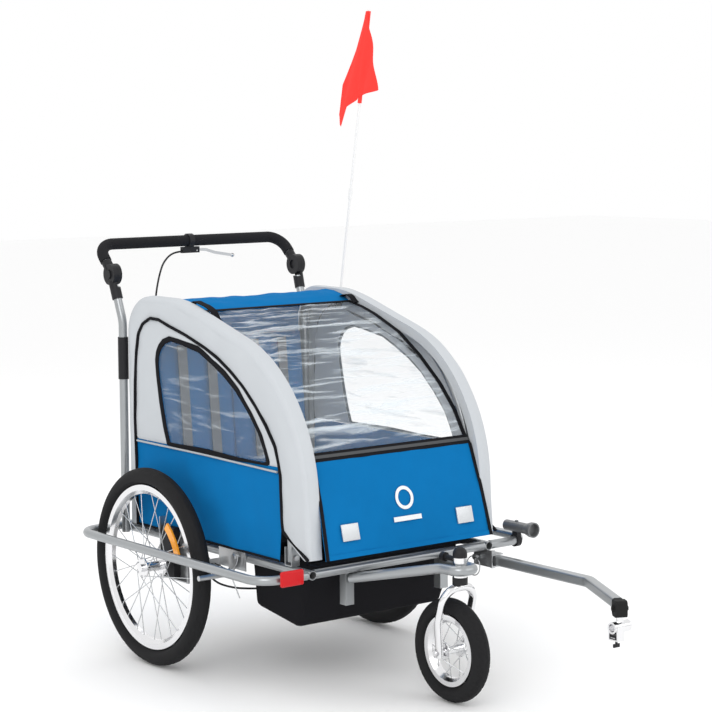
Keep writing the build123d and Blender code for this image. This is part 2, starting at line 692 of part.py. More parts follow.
def upright_fittings():
    """Black sleeves half-way up the uprights and the fixed halves of the tilt joints."""
    up = (UPRIGHT_KNEE - UPRIGHT_FOOT).normalized()
    sleeve = bar(UPRIGHT_FOOT + up * (SLEEVE_BOTTOM_Z - UPRIGHT_FOOT.Z),
                 UPRIGHT_FOOT + up * (SLEEVE_TOP_Z - UPRIGHT_FOOT.Z), SLEEVE_D, TUBE_D + 0.2)
    disc = bar((-JOINT_X, JOINT_Y, JOINT_Z), (-JOINT_X - JOINT_HALF, JOINT_Y, JOINT_Z), JOINT_D)
    up = (UPRIGHT_END - UPRIGHT_KNEE).normalized()
    socket = bar(UPRIGHT_END + up * 15, UPRIGHT_END - up * 33, SLEEVE_D + 1)
    socket = socket - bar(UPRIGHT_END + up * FACE_GAP, UPRIGHT_END - up * 40, TUBE_D + 0.2)
    trim = box((-JOINT_X, JOINT_Y - 30, JOINT_Z - 32), (-JOINT_X + 30, JOINT_Y + 30, JOINT_Z + 30))
    fixed = disc + (socket - trim)
    hole = bar((-JOINT_X - 20, JOINT_Y, JOINT_Z), (-JOINT_X + 20, JOINT_Y, JOINT_Z), BUTTON_D + 2 * RUN_GAP)
    return both(group(sleeve, fixed - hole))


def push_bar():
    """The bent steel bar that plugs into the moving halves of the tilt joints."""
    bar_y, bar_z = BAR
    start = (-JOINT_X, JOINT_Y + 20, JOINT_Z + 20)
    points = [start, (-JOINT_X, bar_y, bar_z), (JOINT_X, bar_y, bar_z), (JOINT_X, start[1], start[2])]
    return tube(points, BAR_D, [BAR_BEND, BAR_BEND], BORE)


def push_bar_grip():
    """Soft foam over the whole of the push bar's top and both bends."""
    bar_y, bar_z = BAR
    lead = 42
    points = [(-JOINT_X, bar_y - lead, bar_z - lead), (-JOINT_X, bar_y, bar_z), (JOINT_X, bar_y, bar_z),
              (JOINT_X, bar_y - lead, bar_z - lead)]
    return tube(points, GRIP_D, [BAR_BEND, BAR_BEND], BAR_D + 0.2)


def joint_arms():
    """The moving halves of the tilt joints: a toothed disc and a socket for the push bar."""
    gap = FACE_GAP
    disc = bar((-JOINT_X + gap, JOINT_Y, JOINT_Z), (-JOINT_X + gap + JOINT_HALF, JOINT_Y, JOINT_Z), JOINT_D)
    socket = bar((-JOINT_X, JOINT_Y + 12, JOINT_Z + 12), (-JOINT_X, JOINT_Y + 30, JOINT_Z + 30), SLEEVE_D)
    hollow = bar((-JOINT_X, JOINT_Y + 19.8, JOINT_Z + 19.8), (-JOINT_X, JOINT_Y + 40, JOINT_Z + 40), BAR_D + 0.2)
    swept = bar((-JOINT_X + gap, JOINT_Y, JOINT_Z), (-JOINT_X - JOINT_HALF - 1, JOINT_Y, JOINT_Z), JOINT_D + 1)
    hole = bar((-JOINT_X - 20, JOINT_Y, JOINT_Z), (-JOINT_X + 20, JOINT_Y, JOINT_Z), BUTTON_D + 2 * RUN_GAP)
    return both((disc + (socket - swept)) - hollow - hole)


def joint_button():
    """The round release button through the middle of a tilt joint."""
    outer = -JOINT_X - JOINT_HALF - BUTTON_TRAVEL
    inner = -JOINT_X + JOINT_HALF - BUTTON_TRAVEL
    return bar((outer, JOINT_Y, JOINT_Z), (inner, JOINT_Y, JOINT_Z), BUTTON_D)


# -------------------------------------------------------------------- brakes

LEVER_X = -8.0
LEVER_PIVOT = (12.0, BAR[0] - 2.0, BAR[1] - 27.0)


def lever_clamp():
    """The brake lever's clamp round the bar, with the body that holds the lever."""
    bar_y, bar_z = BAR
    band = bar((LEVER_X - 8, bar_y, bar_z), (LEVER_X + 8, bar_y, bar_z), GRIP_D + 8, GRIP_D + 0.4)
    px, py, pz = LEVER_PIVOT
    body = box((LEVER_X - 26, py - 6, pz - 6), (px + 8, py + 6, bar_z - GRIP_D / 2 - 1.5))
    slot = box((LEVER_X + 9, py - 3.3, pz - 12), (px + 12, py + 3.3, pz + 7))
    hole = bar((px, py - 10, pz), (px, py + 10, pz), 4 + 2 * RUN_GAP)
    port = bar((LEVER_X - 30, py, pz), (LEVER_X - 16, py, pz), CABLE_D + 3)
    keep_out = bar((LEVER_X - 60, bar_y, bar_z), (LEVER_X + 60, bar_y, bar_z), GRIP_D + 0.4)
    return (band + body - slot - hole - port) - keep_out


def brake_lever():
    """The brake lever's blade with its pivot pin and ball end."""
    px, py, pz = LEVER_PIVOT
    blade = FilletPolyline((px - 2, pz - 1), (px + 30, pz - 3), (px + 60, pz - 12), (px + 118, pz - 22), radius=[25, 30])
    face = Plane(origin=(0, py + 3, 0), x_dir=(1, 0, 0), z_dir=(0, -1, 0)) * make_face(
        Wire([*blade.edges(), Line(blade @ 1, (px + 118, pz - 14)),
              *FilletPolyline((px + 118, pz - 14), (px + 60, pz - 4), (px + 30, pz + 5), (px - 2, pz + 5),
                              radius=[30, 25]).edges(), Line((px - 2, pz + 5), blade @ 0)]))
    shape = extrude(face, 6)
    shape += Pos(px + 118, py, pz - 18) * Sphere(6)
    return shape + bar((px, py - 6, pz), (px, py + 6, pz), 4)


def brake_brackets():
    """A plate beside each rail, just ahead of the wheel, with the tab the cables end in."""
    y, z = BRAKE_PIVOT
    x = -BRAKE_PLATE_X
    plate = box((x, y - 32, z - 33), (x + PLATE, CABLE_STOP_Y, z + 13))
    tab = box((CROSS_CABLE_X - 6, CABLE_STOP_Y - PLATE, z - 37), (x + PLATE, CABLE_STOP_Y, z - 16))
    shape = plate + tab - bar((x - 10, y, z), (x + 10, y, z), BOLT_D + 2 * RUN_GAP)
    for cable_x in (MAIN_CABLE_X, CROSS_CABLE_X):
        shape -= bar((cable_x, CABLE_STOP_Y - 10, CABLE_STOP_Z), (cable_x, CABLE_STOP_Y + 10, CABLE_STOP_Z),
                     WIRE_D + 1)
    return both(shape)


def brake_arm():
    """The swinging arm with the steel bar that presses on the tread of the tyre."""
    (py, pz), (by, bz), (ay, az) = BRAKE_PIVOT, BRAKE_BAR, BRAKE_ANCHOR
    x = -BRAKE_ARM_X
    lever = [(py - 9, pz + 9), (py + 9, pz + 9), (by + 8, bz + 4), (by + 8, bz - 8), (by - 8, bz - 8),
             (py - 9, pz - 9)]
    plate = slab(outline(lever), x - PLATE, x)
    roller = bar((x - PLATE, by, bz), (-TRACK_HALF - TYRE_HALF - 8, by, bz), BRAKE_BAR_D)
    anchor = bar((CROSS_CABLE_X - 5, ay, az), (x - PLATE, ay, az), 8)
    return plate + roller + anchor - bar((x - 10, py, pz), (x + 10, py, pz), BOLT_D + 2 * RUN_GAP)


def wire_tail():
    """The loose end of the brake wire below the right arm's anchor bolt."""
    (ay, az) = BRAKE_ANCHOR
    return bar((MAIN_CABLE_X - 3, ay - 3, az), (MAIN_CABLE_X - 3, ay - 46, az - 60), 3)


# ------------------------------------------------------------------- tow arm

TOW_TOP = TOW_Z + TOW_SIDE / 2 + 0.5
TOW_BOTTOM = TOW_Z - TOW_SIDE / 2 - 0.5
WEB_X = TOW_X - 22.0


def tow_bracket():
    """A steel channel under the left rail, open towards the outside, with the pivot bolt."""
    front, rear = TOW_PIVOT_Y - 22, LINCH_Y + 14
    web = box((WEB_X, front, TOW_BOTTOM - PLATE), (WEB_X + PLATE, rear, RAIL_Z))
    shape = web + box((WEB_X, front, TOW_TOP), (TOW_X + 16, rear, TOW_TOP + PLATE))
    shape += box((WEB_X, front, TOW_BOTTOM - PLATE), (TOW_X + 16, rear, TOW_BOTTOM))
    shape -= bar((RAIL_X, front - 50, RAIL_Z), (RAIL_X, rear + 50, RAIL_Z), TUBE_D + 0.2)
    shape -= bar((WEB_X - 5, LINCH_Y, LINCH_Z), (WEB_X + 10, LINCH_Y, LINCH_Z), LINCH_D + 2 * RUN_GAP)
    shape += bar((TOW_X, TOW_PIVOT_Y, TOW_BOTTOM - PLATE - 7), (TOW_X, TOW_PIVOT_Y, TOW_TOP + PLATE + 5), BOLT_D)
    for base, height in ((TOW_TOP + PLATE, 5), (TOW_BOTTOM - PLATE - 6, 6)):
        head = Plane(origin=(TOW_X, TOW_PIVOT_Y, base))
        shape += extrude(head * RegularPolygon(BOLT_HEAD / 2, 6), height)
    return shape


def tow_arm():
    """A square steel tube that runs forward and bends in behind the bicycle."""
    (end_x, end_y) = TOW_END
    path = FilletPolyline((TOW_X, TOW_PIVOT_Y + TOW_HEEL, TOW_Z), (TOW_X, TOW_BEND_Y, TOW_Z),
                          (end_x, end_y, TOW_Z), radius=[TOW_BEND])
    hollow = TOW_SIDE - 2 * TOW_WALL
    section = RectangleRounded(TOW_SIDE, TOW_SIDE, 6) - RectangleRounded(hollow, hollow, 4)
    shape = sweep(Plane(origin=path @ 0, x_dir=(1, 0, 0), z_dir=path % 0) * section, path=path)
    low, high = (TOW_X, TOW_PIVOT_Y, TOW_Z - 20), (TOW_X, TOW_PIVOT_Y, TOW_Z + 20)
    sleeve = bar((TOW_X, TOW_PIVOT_Y, TOW_Z - TOW_SIDE / 2), (TOW_X, TOW_PIVOT_Y, TOW_Z + TOW_SIDE / 2), BOLT_D + 5)
    return shape + sleeve - bar(low, high, BOLT_D + 2 * RUN_GAP)


def linch_pin():
    """A pin through the bracket behind the arm's heel, with the ring that pulls it out."""
    neck = WEB_X - 7
    ring_r = 24.0
    pin = bar((neck - 5, LINCH_Y, LINCH_Z), (TOW_X + 12, LINCH_Y, LINCH_Z), LINCH_D)
    pin += bar((neck - 5, LINCH_Y, LINCH_Z), (neck + 3, LINCH_Y, LINCH_Z), LINCH_D + 6)
    ring = Pos(neck - 6, LINCH_Y, LINCH_Z - ring_r + 2) * Rot(0, 90, 0) * Torus(ring_r, 1.5)
    return pin + ring


HEADING = math.degrees(math.atan2(TOW_BEND_Y - TOW_END[1], TOW_X - TOW_END[0]))
BLOCK_LENGTH = 34.0
BLOCK_WIDTH = 27.0
BLOCK_HEIGHT = 38.0
BLOCK_Z = TOW_Z - 8.0


def ahead(distance, z):
    """A point in front of the tow arm's end, along its last run."""
    a = math.radians(HEADING)
    return (TOW_END[0] - distance * math.cos(a), TOW_END[1] - distance * math.sin(a), z)


HITCH = ahead(FACE_GAP + BLOCK_LENGTH / 2, BLOCK_Z)
CLAMP_Z = TOW_Z - CLAMP_DROP
BLOCK_FOOT_Z = BLOCK_Z - BLOCK_HEIGHT / 2
SWIVEL_PIN_LENGTH = BLOCK_HEIGHT / 2 - 5


def hitch_rubber():
    """The rubber block that lets the hitch flex, with its cross bolt."""
    block = Box(BLOCK_LENGTH, BLOCK_WIDTH, BLOCK_HEIGHT)
    block = fillet(block.edges().filter_by(Axis.Y), 8)
    cross = Rot(90, 0, 0) * Cylinder(4, BLOCK_WIDTH + 12)
    for side in (-1, 1):
        head = Plane(origin=(0, side * (BLOCK_WIDTH / 2 + (0 if side > 0 else 5)), 0), z_dir=(0, 1, 0))
        cross += extrude(head * RegularPolygon(7, 6), 5)
    hole = Pos(0, 0, -BLOCK_HEIGHT / 2 + SWIVEL_PIN_LENGTH / 2) * Cylinder(4 + RUN_GAP, SWIVEL_PIN_LENGTH)
    return Pos(*HITCH) * Rot(0, 0, HEADING) * (block + cross - hole)


def hitch_clamp():
    """The swivelling clamp: a polished tube in a U-shaped plate under a swivel nut."""
    x, y = HITCH[0], HITCH[1]
    top = BLOCK_FOOT_Z - FACE_GAP
    tube_top = CLAMP_Z + CLAMP_D / 2
    half = CLAMP_LENGTH / 2
    shape = extrude(Plane(origin=(x, y, tube_top - 2)) * RegularPolygon(9, 6), top - tube_top + 2)
    shape += bar((x, y, top), (x, y, BLOCK_FOOT_Z + SWIVEL_PIN_LENGTH - 0.5), 8)
    shape += bar((x - half, y, CLAMP_Z), (x + half, y, CLAMP_Z), CLAMP_D)
    low = CLAMP_Z - CLAMP_D / 2 - 16
    for edge in (y - CLAMP_D / 2 - 1, y + CLAMP_D / 2 + 1 - PLATE):
        shape += box((x - half + 4, edge, low), (x - half + 26, edge + PLATE, CLAMP_Z + 4))
    shape += box((x - half + 4, y - CLAMP_D / 2, low), (x - half + 26, y + CLAMP_D / 2, low + PLATE))
    shape -= bar((x - half - 5, y, CLAMP_Z), (x + half + 5, y, CLAMP_Z), CLAMP_BORE_D)
    screw_x = x - half + 15
    return shape - bar((screw_x, y, low - 5), (screw_x, y, low + 10), 6 + 2 * RUN_GAP)


def clamp_screw():
    """The clamp's screw with its wing head and the black pad on its tip."""
    x, y = HITCH[0] - CLAMP_LENGTH / 2 + 15, HITCH[1]
    low = CLAMP_Z - CLAMP_D / 2 - 16
    pad_top = CLAMP_Z - CLAMP_D / 2 - CLAMP_TRAVEL - FACE_GAP
    shape = bar((x, y, low - 12), (x, y, pad_top - 3), 6)
    shape += box((x - 9, y - 11, pad_top - 5), (x + 9, y + 11, pad_top))
    return shape + box((x - 9, y - 2, low - 16), (x + 9, y + 2, low - 8))



# -------------------------------------------------- lamp, reflectors and flag

NEAR_REFLECTOR = (-338.0, BASE_FRONT_Y - 15.5, RAIL_Z + 5.0)
LAMP_X = 372.0
LAMP_D = 27.0


def reflectors():
    """A red reflector on the right guard and two clear ones on the front panel."""
    x, y, z = NEAR_REFLECTOR
    red = box((x - 33, y - 12, z - 19), (x + 33, y, z + 19))
    red = fillet(red.edges().filter_by(Axis.Y), 9)
    clear = []
    (y0, z0), (y1, z1) = PANEL_MID, PANEL_LOW
    lean = math.degrees(math.atan2(y0 - y1, z0 - z1))
    middle_z = 402.0
    middle_y = y1 + (y0 - y1) * (middle_z - z1) / (z0 - z1)
    for side in (-1, 1):
        tile = Box(50, 5, 40)
        clear.append(Pos(side * 175, middle_y, middle_z) * Rot(-lean, 0, 0) * Pos(0, -2.5 - FACE_GAP, 0) * tile)
    return group(red, *clear)


def accessory_clamps():
    """Black clamps round the guard tubes that hold the reflector and the lamp."""
    shapes = []
    x, y, z = NEAR_REFLECTOR
    ring = bar((x - 7, BASE_FRONT_Y, RAIL_Z), (x + 7, BASE_FRONT_Y, RAIL_Z), TUBE_D + 6)
    ring += box((x - 7, y + FACE_GAP, z - 10), (x + 7, BASE_FRONT_Y, z + 10))
    shapes.append(ring - bar((x - 60, BASE_FRONT_Y, RAIL_Z), (x + 60, BASE_FRONT_Y, RAIL_Z), TUBE_D + 0.2))
    ring_y = BASE_FRONT_Y + 3
    lamp_ring = bar((LAMP_X - 7, ring_y, RAIL_Z), (LAMP_X + 7, ring_y, RAIL_Z), TUBE_D + 10)
    post_top = LAMP_Z - LAMP_D / 2 + 2
    lamp_ring += box((LAMP_X - 7, BASE_FRONT_Y - 9, RAIL_Z), (LAMP_X + 7, BASE_FRONT_Y + 9, post_top))
    lamp_ring -= mirrored(guard_tube(TUBE_D + 0.2))
    lamp_ring -= bar((LAMP_X, BASE_FRONT_Y + 60, LAMP_Z), (LAMP_X, BASE_FRONT_Y - 90, LAMP_Z), LAMP_D + 0.2)
    shapes.append(lamp_ring)
    return group(*shapes)


def front_lamp():
    """A torch-shaped front lamp with a flared head and a switch on top."""
    y = BASE_FRONT_Y
    body = bar((LAMP_X, y + 38, LAMP_Z), (LAMP_X, y - 36, LAMP_Z), LAMP_D)
    cone = Pos(LAMP_X, y - 45, LAMP_Z) * Rot(90, 0, 0) * Cone(LAMP_D / 2, 19, 18)
    bezel = bar((LAMP_X, y - 54, LAMP_Z), (LAMP_X, y - 64, LAMP_Z), 38)
    cup = bar((LAMP_X, y - 50, LAMP_Z), (LAMP_X, y - 66, LAMP_Z), 32)
    button = bar((LAMP_X, y, LAMP_Z + 10), (LAMP_X, y, LAMP_Z + LAMP_D / 2 + 3), 9)
    return body + cone + bezel + button - cup


def flag_pole():
    """A two-piece glass-fibre pole in a pocket at the back of the left arch."""
    foot, top = Vector(*POLE_FOOT), Vector(*POLE_TOP)
    joint = foot + (top - foot) * 0.43
    half = (top - foot).normalized() * 14
    return bar(foot, top, POLE_D) + bar(joint - half, joint + half, POLE_D + 4)


def flag():
    """A limp pennant on a sleeve that slips over the top of the pole."""
    foot, top = Vector(*POLE_FOOT), Vector(*POLE_TOP)
    down = (foot - top).normalized()
    out = down.cross(Vector(0, -1, 0)).normalized()
    sleeve = bar(top + down * 5, top + down * 247, FLAG_SLEEVE_D, POLE_D + 2 * RUN_GAP)
    face = Plane(origin=top, x_dir=down, z_dir=out)
    pennant = make_face(Polyline(*FLAG_CORNERS, close=True))
    reach = FLAG_SLEEVE_D / 2
    return sleeve + face * Pos(0, 0, reach - 1.5) * extrude(pennant, 1.5)


# -------------------------------------------------------------- brake cables

def cable(points, name):
    """A round brake cable along a smooth curve, as short runs joined by arcs."""
    curve = Spline(*points)
    count = math.ceil(curve.length / CABLE_RUN)
    corners = [curve @ (i / count) for i in range(count + 1)]
    radii = []
    for before, corner, after in zip(corners, corners[1:], corners[2:]):
        shorter = min((corner - before).length, (after - corner).length)
        turn = (corner - before).get_angle(after - corner)
        radii.append(0.45 * shorter / math.tan(math.radians(turn / 2)))
    path = FilletPolyline(*corners, radius=radii)
    shape = sweep(Plane(origin=path @ 0, z_dir=path % 0) * Circle(CABLE_D / 2), path=path)
    expected = math.pi * CABLE_D ** 2 / 4 * path.length
    print(f"{name} {path.length:.0f} mm, smallest radius {min(radii):.0f}, volume {shape.volume / expected:.4f}")
    return shape


ANCHOR_TRAVEL = 4.0         # room for the anchor to come back as the brake is pulled


def wire_to_anchor(x):
    """The bare wire between a cable's end and the bolt on the brake arm."""
    (ay, az) = BRAKE_ANCHOR
    return bar((x, CABLE_STOP_Y + 2, CABLE_STOP_Z), (x, ay + 4 + ANCHOR_TRAVEL, az + 1), WIRE_D)


def brake_cables():
    """The cable from the lever to the right brake, and the one across to the left brake."""
    start_y, start_z = LEVER_PIVOT[1], LEVER_PIVOT[2]
    main = cable([(LEVER_X - 17, start_y, start_z), (LEVER_X - 32, start_y, start_z),
                  (-90, 320, 1004), (-128, 296, 962), (-160, 264, 915),
                  (-184, 236, 864), (-197, 222, 800), (-207, 218, 700), (-213, 217.5, 580),
                  (-213, 218, 460), (-206, 221, 350), (-201, 216, 300), (-203, 170, 281),
                  (-212, 90, 279), (-226, 0, 279), (-250, -90, 280), (-286, -160, 283),
                  (MAIN_CABLE_X, CABLE_STOP_Y + 14, CABLE_STOP_Z),
                  (MAIN_CABLE_X, CABLE_STOP_Y + FACE_GAP, CABLE_STOP_Z)],
                 "main cable")
    side = [(CROSS_CABLE_X, CABLE_STOP_Y + 0.8, CABLE_STOP_Z), (CROSS_CABLE_X, CABLE_STOP_Y + 12, CABLE_STOP_Z),
            (-301, -166, 256), (-268, -170, 222), (-215, -188, 206), (-150, -202, 200), (-75, -209, 197)]
    cross = cable([*side, (0, -211, 196), *[(-x, y, z) for x, y, z in reversed(side)]], "cross cable")
    right_main = main + wire_to_anchor(MAIN_CABLE_X)
    across = cross + wire_to_anchor(CROSS_CABLE_X) + mirrored(wire_to_anchor(CROSS_CABLE_X))
    return group(right_main, across)


# --------------------------------------------------------------------- nodes

SPOKE_HUB_R = FLANGE_D / 2 - 4
SPOKE_GAP = 0.6             # from a spoke's end to the inside of its rim

right_rim = rim(WHEEL_CENTRE, RIM_OUTER, RIM_DEPTH, RIM_HALF)
right_tyre = tyre(WHEEL_CENTRE, WHEEL_D / 2, TYRE_DEPTH, TYRE_HALF, RIM_HALF)
right_spokes = group(*spokes(WHEEL_CENTRE, SPOKES, SPOKE_HUB_R, RIM_OUTER - RIM_DEPTH - SPOKE_GAP,
                             FLANGE_HALF, SPOKE_D, 60))
front_spokes = group(*spokes(FRONT_CENTRE, FRONT_SPOKES, FRONT_FLANGE_D / 2 - 1,
                             FRONT_RIM_OUTER - FRONT_RIM_DEPTH - SPOKE_GAP, FRONT_FLANGE_HALF, SPOKE_D, 40))
right_arm = brake_arm()

nodes = {
    "base_frame": base_frame(),
    "wheel_guards": wheel_guards(),
    "wheel_brackets": wheel_brackets(),
    "axle_blocks": axle_blocks(),
    "frame_bolts": frame_bolts(),
    "rear_uprights": rear_uprights(),
    "upright_fittings": upright_fittings(),
    "wheel_support": wheel_support(),
    "head_tube": head_tube(),
    "head_cap": head_cap(),
    "swivel_lock": swivel_lock(),
    "fork": fork(),
    "fork_cap": fork_cap(),
    "front_tyre": tyre(FRONT_CENTRE, FRONT_D / 2, FRONT_TYRE_DEPTH, FRONT_TYRE_HALF, FRONT_RIM_HALF),
    "front_rim": rim(FRONT_CENTRE, FRONT_RIM_OUTER, FRONT_RIM_DEPTH, FRONT_RIM_HALF),
    "front_spokes": front_spokes,
    "front_hub": front_hub(),
    "right_tyre": right_tyre,
    "left_tyre": mirrored(right_tyre),
    "right_rim": right_rim,
    "left_rim": mirrored(right_rim),
    "right_spokes": right_spokes,
    "left_spokes": mirrored(right_spokes),
    "right_hub": rear_hub(),
    "left_hub": mirrored(rear_hub()),
    "right_spoke_reflector": spoke_reflector(),
    "left_spoke_reflector": mirrored(spoke_reflector()),
    "right_arch": arch(),
    "left_arch": mirrored(arch()),
    "right_side_cover": side_cover(),
    "left_side_cover": mirrored(side_cover()),
    "front_cover": front_cover(),
    "front_panel": front_panel(),
    "roof": roof(),
    "rear_panel": rear_panel(),
    "floor_pan": floor_pan(),
    "seat": seat(),
    "harness": harness(),
    "push_bar": push_bar(),
    "push_bar_grip": push_bar_grip(),
    "joint_arms": joint_arms(),
    "right_joint_button": joint_button(),
    "left_joint_button": mirrored(joint_button()),
    "lever_clamp": lever_clamp(),
    "brake_lever": brake_lever(),
    "brake_brackets": brake_brackets(),
    "right_brake_arm": right_arm + wire_tail(),
    "left_brake_arm": mirrored(right_arm),
    "brake_cables": brake_cables(),
    "tow_bracket": tow_bracket(),
    "tow_arm": tow_arm(),
    "linch_pin": linch_pin(),
    "hitch_rubber": hitch_rubber(),
    "hitch_clamp": hitch_clamp(),
    "clamp_screw": clamp_screw(),
    "reflectors": reflectors(),
    "accessory_clamps": accessory_clamps(),
    "front_lamp": front_lamp(),
    "flag_pole": flag_pole(),
    "flag": flag(),
}

os.makedirs("parts", exist_ok=True)
for name, shape in nodes.items():
    export_step(Pos(0, AXLE_TO_ORIGIN, 0) * shape, f"parts/{name}.step")
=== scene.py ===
import bpy
import math
from mathutils import Matrix, Vector


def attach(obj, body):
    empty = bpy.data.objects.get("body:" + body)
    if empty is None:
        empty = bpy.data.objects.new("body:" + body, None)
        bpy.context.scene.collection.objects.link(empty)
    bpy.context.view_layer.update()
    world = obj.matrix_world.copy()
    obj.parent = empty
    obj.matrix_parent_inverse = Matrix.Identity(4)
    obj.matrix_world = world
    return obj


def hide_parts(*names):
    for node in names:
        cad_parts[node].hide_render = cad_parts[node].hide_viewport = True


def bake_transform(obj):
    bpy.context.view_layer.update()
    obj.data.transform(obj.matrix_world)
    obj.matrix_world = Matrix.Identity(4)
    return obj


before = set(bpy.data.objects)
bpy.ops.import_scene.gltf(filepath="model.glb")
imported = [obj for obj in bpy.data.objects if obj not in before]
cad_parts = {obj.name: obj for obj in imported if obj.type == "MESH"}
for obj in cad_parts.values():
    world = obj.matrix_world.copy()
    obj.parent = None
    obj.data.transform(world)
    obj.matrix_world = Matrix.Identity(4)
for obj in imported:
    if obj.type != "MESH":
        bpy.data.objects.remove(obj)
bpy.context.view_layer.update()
bpy.ops.object.select_all(action="DESELECT")


# ------------------------------------------------------------------ studio
# A plain pale floor that fades into the background, lit by three large soft lamps.
# The camera stands low, ahead of the trailer and on its right.
AXLE = 0.3953                     # the rear axle lies this far behind the origin

camera_data = bpy.data.cameras.new("camera")
camera_data.lens = 104.85
camera_data.sensor_width = 36
camera_data.clip_end = 60
camera = bpy.data.objects.new("camera", camera_data)
bpy.context.collection.objects.link(camera)
turn = Matrix.Rotation(math.radians(-37.49), 4, "Z") @ Matrix.Rotation(math.radians(90 - 6.11), 4, "X")
turn = turn @ Matrix.Rotation(math.radians(-0.553), 4, "Z")
camera.matrix_world = Matrix.Translation((-3.0621, -4.3821 + AXLE, 1.3255)) @ turn
bpy.context.scene.camera = camera
bpy.context.scene.view_settings.view_transform = "Standard"

bpy.ops.mesh.primitive_plane_add(size=40, location=(0, 0, -0.001))
floor = bpy.context.object
floor.name = "studio_floor"
paper = bpy.data.materials.new("studio_paper")
paper.use_nodes = True
paper.node_tree.nodes["Principled BSDF"].inputs["Base Color"].default_value = (0.97, 0.97, 0.97, 1)
paper.node_tree.nodes["Principled BSDF"].inputs["Roughness"].default_value = 0.9
floor.data.materials.append(paper)

world = bpy.data.worlds.new("studio_air")
bpy.context.scene.world = world
world.use_nodes = True
world.node_tree.nodes["Background"].inputs["Color"].default_value = (1.0, 1.0, 1.0, 1)
world.node_tree.nodes["Background"].inputs["Strength"].default_value = 1.0
for place, size, power in (((-3.5, -3.0, 3.5), 3.0, 70), ((2.5, -4.0, 3.0), 3.0, 25), ((0.5, 2.5, 4.0), 3.5, 30)):
    bpy.ops.object.light_add(type="AREA", location=place)
    lamp = bpy.context.object
    lamp.data.size = size
    lamp.data.energy = power
    aim = Vector((0, 0, 0.5)) - Vector(place)
    lamp.rotation_euler = aim.to_track_quat("-Z", "Y").to_euler()


# ------------------------------------------------------- tubes of the frame
# Base frame, wheel guards, arches, uprights, push bar, tow arm and the front wheel's support.
# Round and square steel tube, bent cold, welded, and painted satin silver.

def finish(name, colour, roughness, metallic=0.0, grain=300.0, depth=0.0, mottle=0.0, **sockets):
    """A material with a fine bump and a faint change of tone over the piece."""
    made = bpy.data.materials.new(name)
    made.use_nodes = True
    nodes, links = made.node_tree.nodes, made.node_tree.links
    shader = nodes["Principled BSDF"]
    shader.inputs["Base Color"].default_value = (*colour, 1)
    shader.inputs["Roughness"].default_value = roughness
    shader.inputs["Metallic"].default_value = metallic
    for socket, value in sockets.items():
        shader.inputs[socket.replace("_", " ")].default_value = value
    place = nodes.new("ShaderNodeTexCoord")
    if depth:
        noise = nodes.new("ShaderNodeTexNoise")
        noise.inputs["Scale"].default_value = grain
        bump = nodes.new("ShaderNodeBump")
        bump.inputs["Strength"].default_value = depth
        bump.inputs["Distance"].default_value = 0.001
        links.new(place.outputs["Object"], noise.inputs["Vector"])
        links.new(noise.outputs["Fac"], bump.inputs["Height"])
        links.new(bump.outputs["Normal"], shader.inputs["Normal"])
    if mottle:
        cloud = nodes.new("ShaderNodeTexNoise")
        cloud.inputs["Scale"].default_value = 9.0
        tone = nodes.new("ShaderNodeMapRange")
        tone.inputs["To Min"].default_value = 1.0 - mottle
        tone.inputs["To Max"].default_value = 1.0 + mottle
        mix = nodes.new("ShaderNodeMix")
        mix.data_type = "RGBA"
        mix.blend_type = "MULTIPLY"
        mix.inputs["Factor"].default_value = 1.0
        mix.inputs["A"].default_value = (*colour, 1)
        links.new(place.outputs["Object"], cloud.inputs["Vector"])
        links.new(cloud.outputs["Fac"], tone.inputs["Value"])
        links.new(tone.outputs["Result"], mix.inputs["B"])
        links.new(mix.outputs["Result"], shader.inputs["Base Color"])
    return made


def dress(material, *names):
    """Gives CAD nodes their finish."""
    for name in names:
        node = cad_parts[name]
        node.data.materials.clear()
        node.data.materials.append(material)


silver = finish("satin_silver_paint", (0.36, 0.375, 0.385), 0.30, 0.75, 240, 0.05, 0.05)
dress(silver, "base_frame", "wheel_guards", "rear_uprights", "wheel_support", "right_arch", "left_arch",
      "push_bar", "tow_arm")


# --------------------------------------------------- plates, bolts and forks
# Pressed steel brackets, zinc-plated, with their bolts, and the chromed fork and hubs.
plated = finish("zinc_plate", (0.55, 0.56, 0.57), 0.34, 0.9, 500, 0.08, 0.06)
chrome = finish("bright_chrome", (0.80, 0.80, 0.81), 0.12, 1.0)
dress(plated, "wheel_brackets", "brake_brackets", "tow_bracket", "frame_bolts", "right_brake_arm",
      "left_brake_arm", "brake_lever", "linch_pin")
dress(chrome, "fork", "head_tube", "right_hub", "left_hub", "front_hub", "hitch_clamp")


# ----------------------------------------------------------- black mouldings
# Glass-filled nylon joints, blocks, caps and clamps, and the lamp's body.
moulded = finish("black_nylon", (0.014, 0.014, 0.016), 0.5, 0.0, 420, 0.15, Specular_IOR_Level=0.25)
dress(moulded, "axle_blocks", "upright_fittings", "head_cap", "fork_cap", "swivel_lock", "joint_arms",
      "right_joint_button", "left_joint_button", "accessory_clamps", "clamp_screw", "lever_clamp", "brake_cables")
dress(finish("lamp_grey", (0.16, 0.165, 0.17), 0.35, 0.4, 300, 0.05), "front_lamp")
foam = finish("grip_foam", (0.014, 0.014, 0.016), 0.9, 0.0, 900, 0.5, Specular_IOR_Level=0.2)
dress(foam, "push_bar_grip")
rubber = finish("black_rubber", (0.012, 0.012, 0.012), 0.7, 0.0, 300, 0.1, Specular_IOR_Level=0.2)
dress(rubber, "hitch_rubber")


